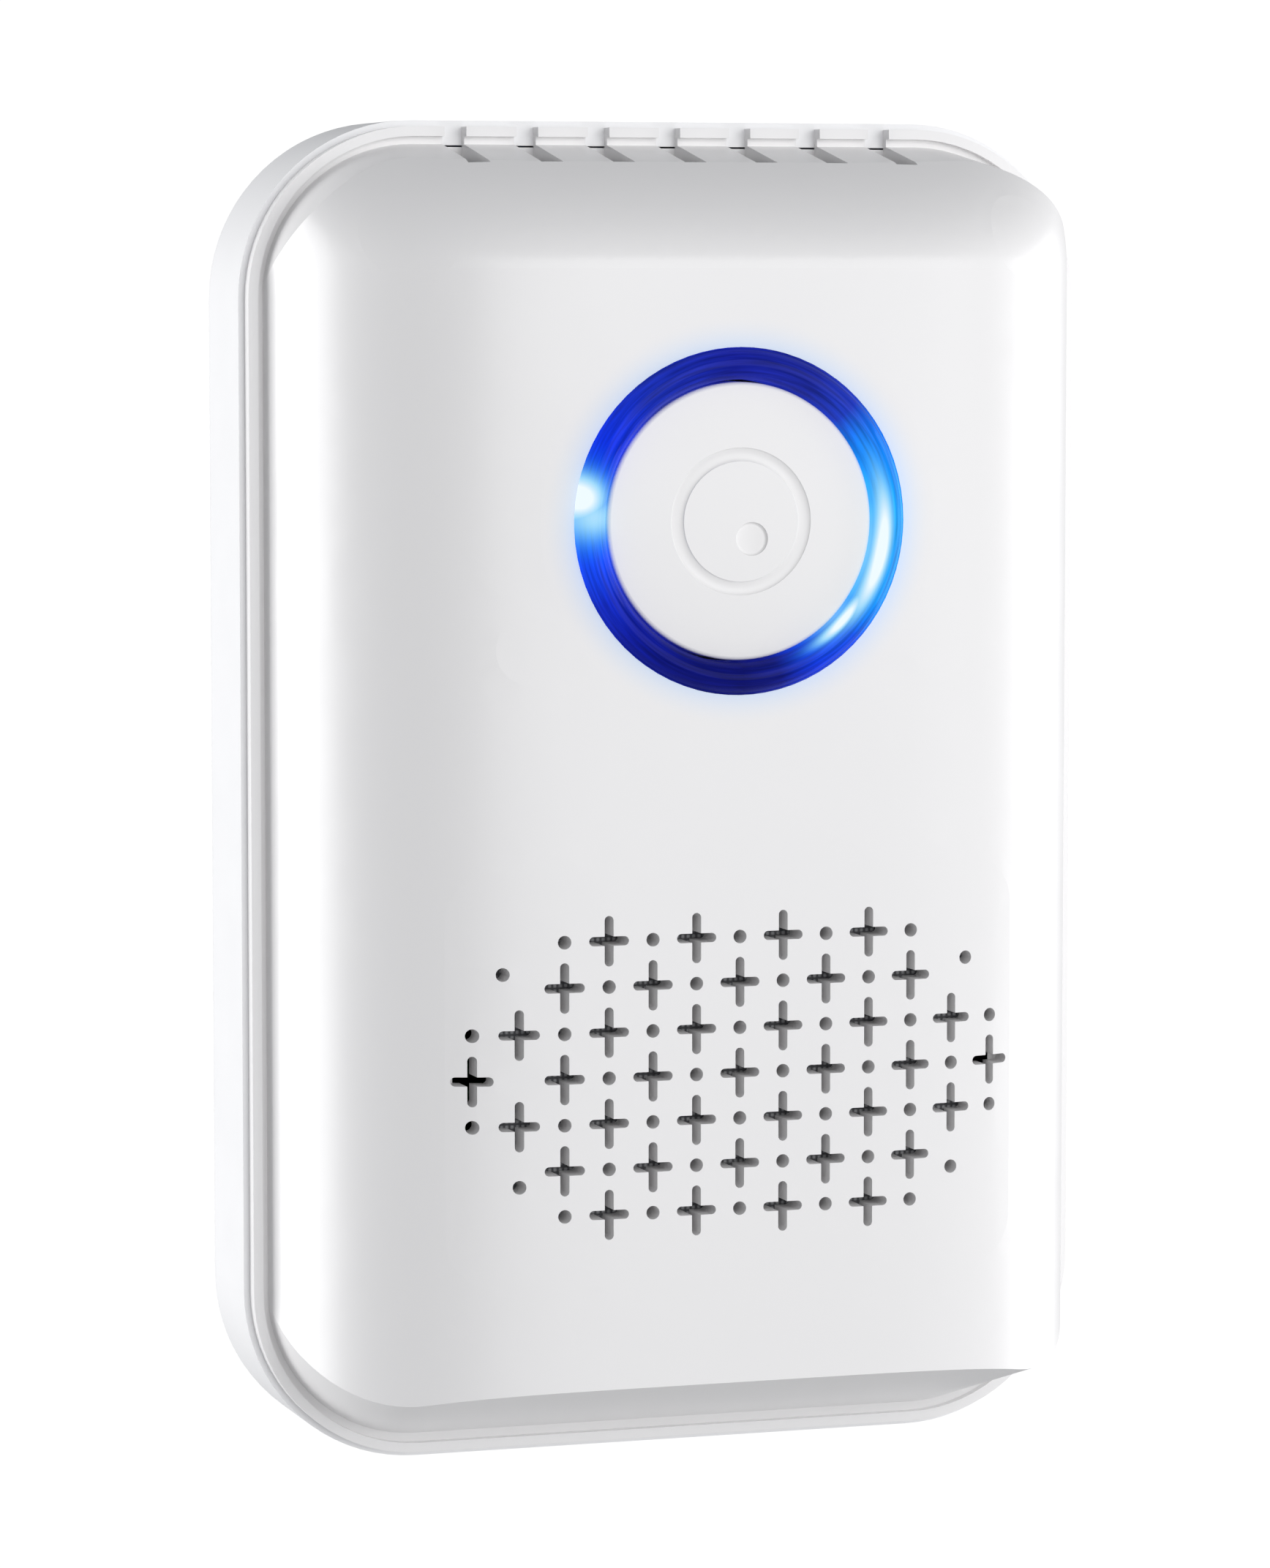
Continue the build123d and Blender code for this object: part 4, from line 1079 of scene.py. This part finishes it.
@dataclass
class MainsPlug:
    """Plug base in the rear cover, and its two blades."""

    base_white: str = "EAEAE8"

    def build(self) -> None:
        """Dress the base and the blades."""
        dress(
            {
                # greyer and duller than the covers, with fine grain
                "plug_plastic": MouldedPlastic(
                    "satin_white_polycarbonate", self.base_white, Sheen.SPARK_ERODED, 0.35, 0.008
                ),
                # blades are drawn lengthways before plating, so their streaks run along Y
                "plated_brass": WorkedMetal("nickel_plated_brass", "CFCBC0", 0.2, (0.1, 3.0, 0.15)),
            }
        )


@dataclass(frozen=True)
class SoftBox:
    """Rectangular soft light: its middle, its width and height, and its watts."""

    name: str
    place: tuple[float, float, float]
    size: tuple[float, float]
    power: float

    def hang(self, aim: Vector) -> None:
        """Hang the light so that it faces a point.

        Args:
            aim: The point that it faces.
        """
        data = bpy.data.lights.new(self.name, "AREA")
        data.shape = "RECTANGLE"
        data.size, data.size_y = self.size
        data.energy = self.power
        light = bpy.data.objects.new(self.name, data)
        light.location = self.place
        light.rotation_mode = "QUATERNION"
        light.rotation_quaternion = (aim - Vector(self.place)).to_track_quat("-Z", "Y")
        bpy.context.scene.collection.objects.link(light)


@dataclass
class Studio:
    """Plain floor, soft lights and the camera."""

    yaw: float = 18.0
    pitch: float = 5.02
    distance: float = 0.4658
    lens: float = 134.4
    sensor_mm: float = 36.0
    clip: tuple[float, float] = (0.01, 50.0)
    target: tuple[float, float, float] = (-0.00886, -0.032, 0.00213)
    aim: tuple[float, float, float] = (0.0, -0.02, 0.0)
    boxes: tuple[SoftBox, ...] = (
        SoftBox("left_box", (-0.66, 0.42, 0.0), (0.55, 0.6), 5.6),
        SoftBox("right_box", (0.74, 0.04, 0.0), (0.7, 0.6), 3.6),
        SoftBox("front_box", (0.34, -1.15, 0.28), (1.3, 0.9), 9.0),
    )
    room_light: float = 0.36
    backdrop_light: float = 1.05
    floor_below: float = 0.55
    floor_half: float = 1.4
    floor_grain_mm: float = 3.0
    floor_depth_mm: float = 0.05

    def camera(self) -> None:
        """Place the camera left of the front and a little above it."""
        yaw, pitch = math.radians(self.yaw), math.radians(self.pitch)
        forward = Vector(
            (math.sin(yaw) * math.cos(pitch), math.cos(yaw) * math.cos(pitch), -math.sin(pitch))
        )
        data = bpy.data.cameras.new("camera")
        data.lens = self.lens
        data.sensor_width = self.sensor_mm
        data.clip_start, data.clip_end = self.clip
        eye = bpy.data.objects.new("camera", data)
        eye.location = Vector(self.target) - forward * self.distance
        eye.rotation_mode = "QUATERNION"
        eye.rotation_quaternion = forward.to_track_quat("-Z", "Y")
        bpy.context.scene.collection.objects.link(eye)
        bpy.context.scene.camera = eye

    def world(self) -> None:
        """Fill the room with pale light; the backdrop seen past the object is white."""
        world = bpy.data.worlds.new("room")
        bpy.context.scene.world = world
        world.use_nodes = True
        tree = world.node_tree
        tree.nodes.clear()
        room, backdrop = (
            add_node(tree, "ShaderNodeBackground", values={"Color": colour, "Strength": strength})
            for colour, strength in (
                (linear("F4F6FA"), self.room_light),
                (linear("FFFFFF"), self.backdrop_light),
            )
        )
        seen = add_node(tree, "ShaderNodeLightPath")
        mixed = add_node(
            tree,
            "ShaderNodeMixShader",
            links={0: seen.outputs["Is Camera Ray"], 1: room.outputs[0], 2: backdrop.outputs[0]},
        )
        add_node(tree, "ShaderNodeOutputWorld", links={"Surface": mixed.outputs[0]})

    def floor(self) -> None:
        """Lay a plain floor well below the object, which hangs on its plug."""
        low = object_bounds()[0].z - self.floor_below
        half = self.floor_half
        corners = np.array([(-half, -half, low), (half, -half, low), (half, half, low), (-half, half, low)])
        plane = add_mesh("floor", corners, np.array([[0, 1, 2, 3]]), smooth=False)
        # plain and matt, so that nothing is mirrored under the object
        material, tree, shader, points = new_material("white_floor")
        grain = add_node(
            tree,
            "ShaderNodeTexNoise",
            values={"Scale": 1 / (self.floor_grain_mm * MM), "Detail": 2.0},
            links={"Vector": points},
        )
        dents = add_node(
            tree,
            "ShaderNodeBump",
            values={"Strength": 1.0, "Distance": self.floor_depth_mm * MM},
            links={"Height": grain.outputs["Fac"]},
        )
        set_inputs(
            tree,
            shader,
            {"Base Color": linear("D6D6D6"), "Roughness": 0.9},
            {"Normal": dents.outputs["Normal"]},
        )
        plane.data.materials.append(material)
        plane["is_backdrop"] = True

    def build(self) -> None:
        """Set up the studio, with plain sRGB tones."""
        bpy.context.scene.view_settings.view_transform = "Standard"
        self.camera()
        for box in self.boxes:
            box.hang(Vector(self.aim))
        self.world()
        self.floor()


def main() -> None:
    """Build every sub-assembly in order, then the studio."""
    logging.basicConfig(level=logging.INFO, format="%(name)s %(message)s")
    ring = LitRing()
    for assembly in (ring, Casing(ring), PushButton(), SpeakerUnit(), MainBoard(), MainsPlug(), Studio()):
        assembly.build()


if __name__ == "__main__":
    main()
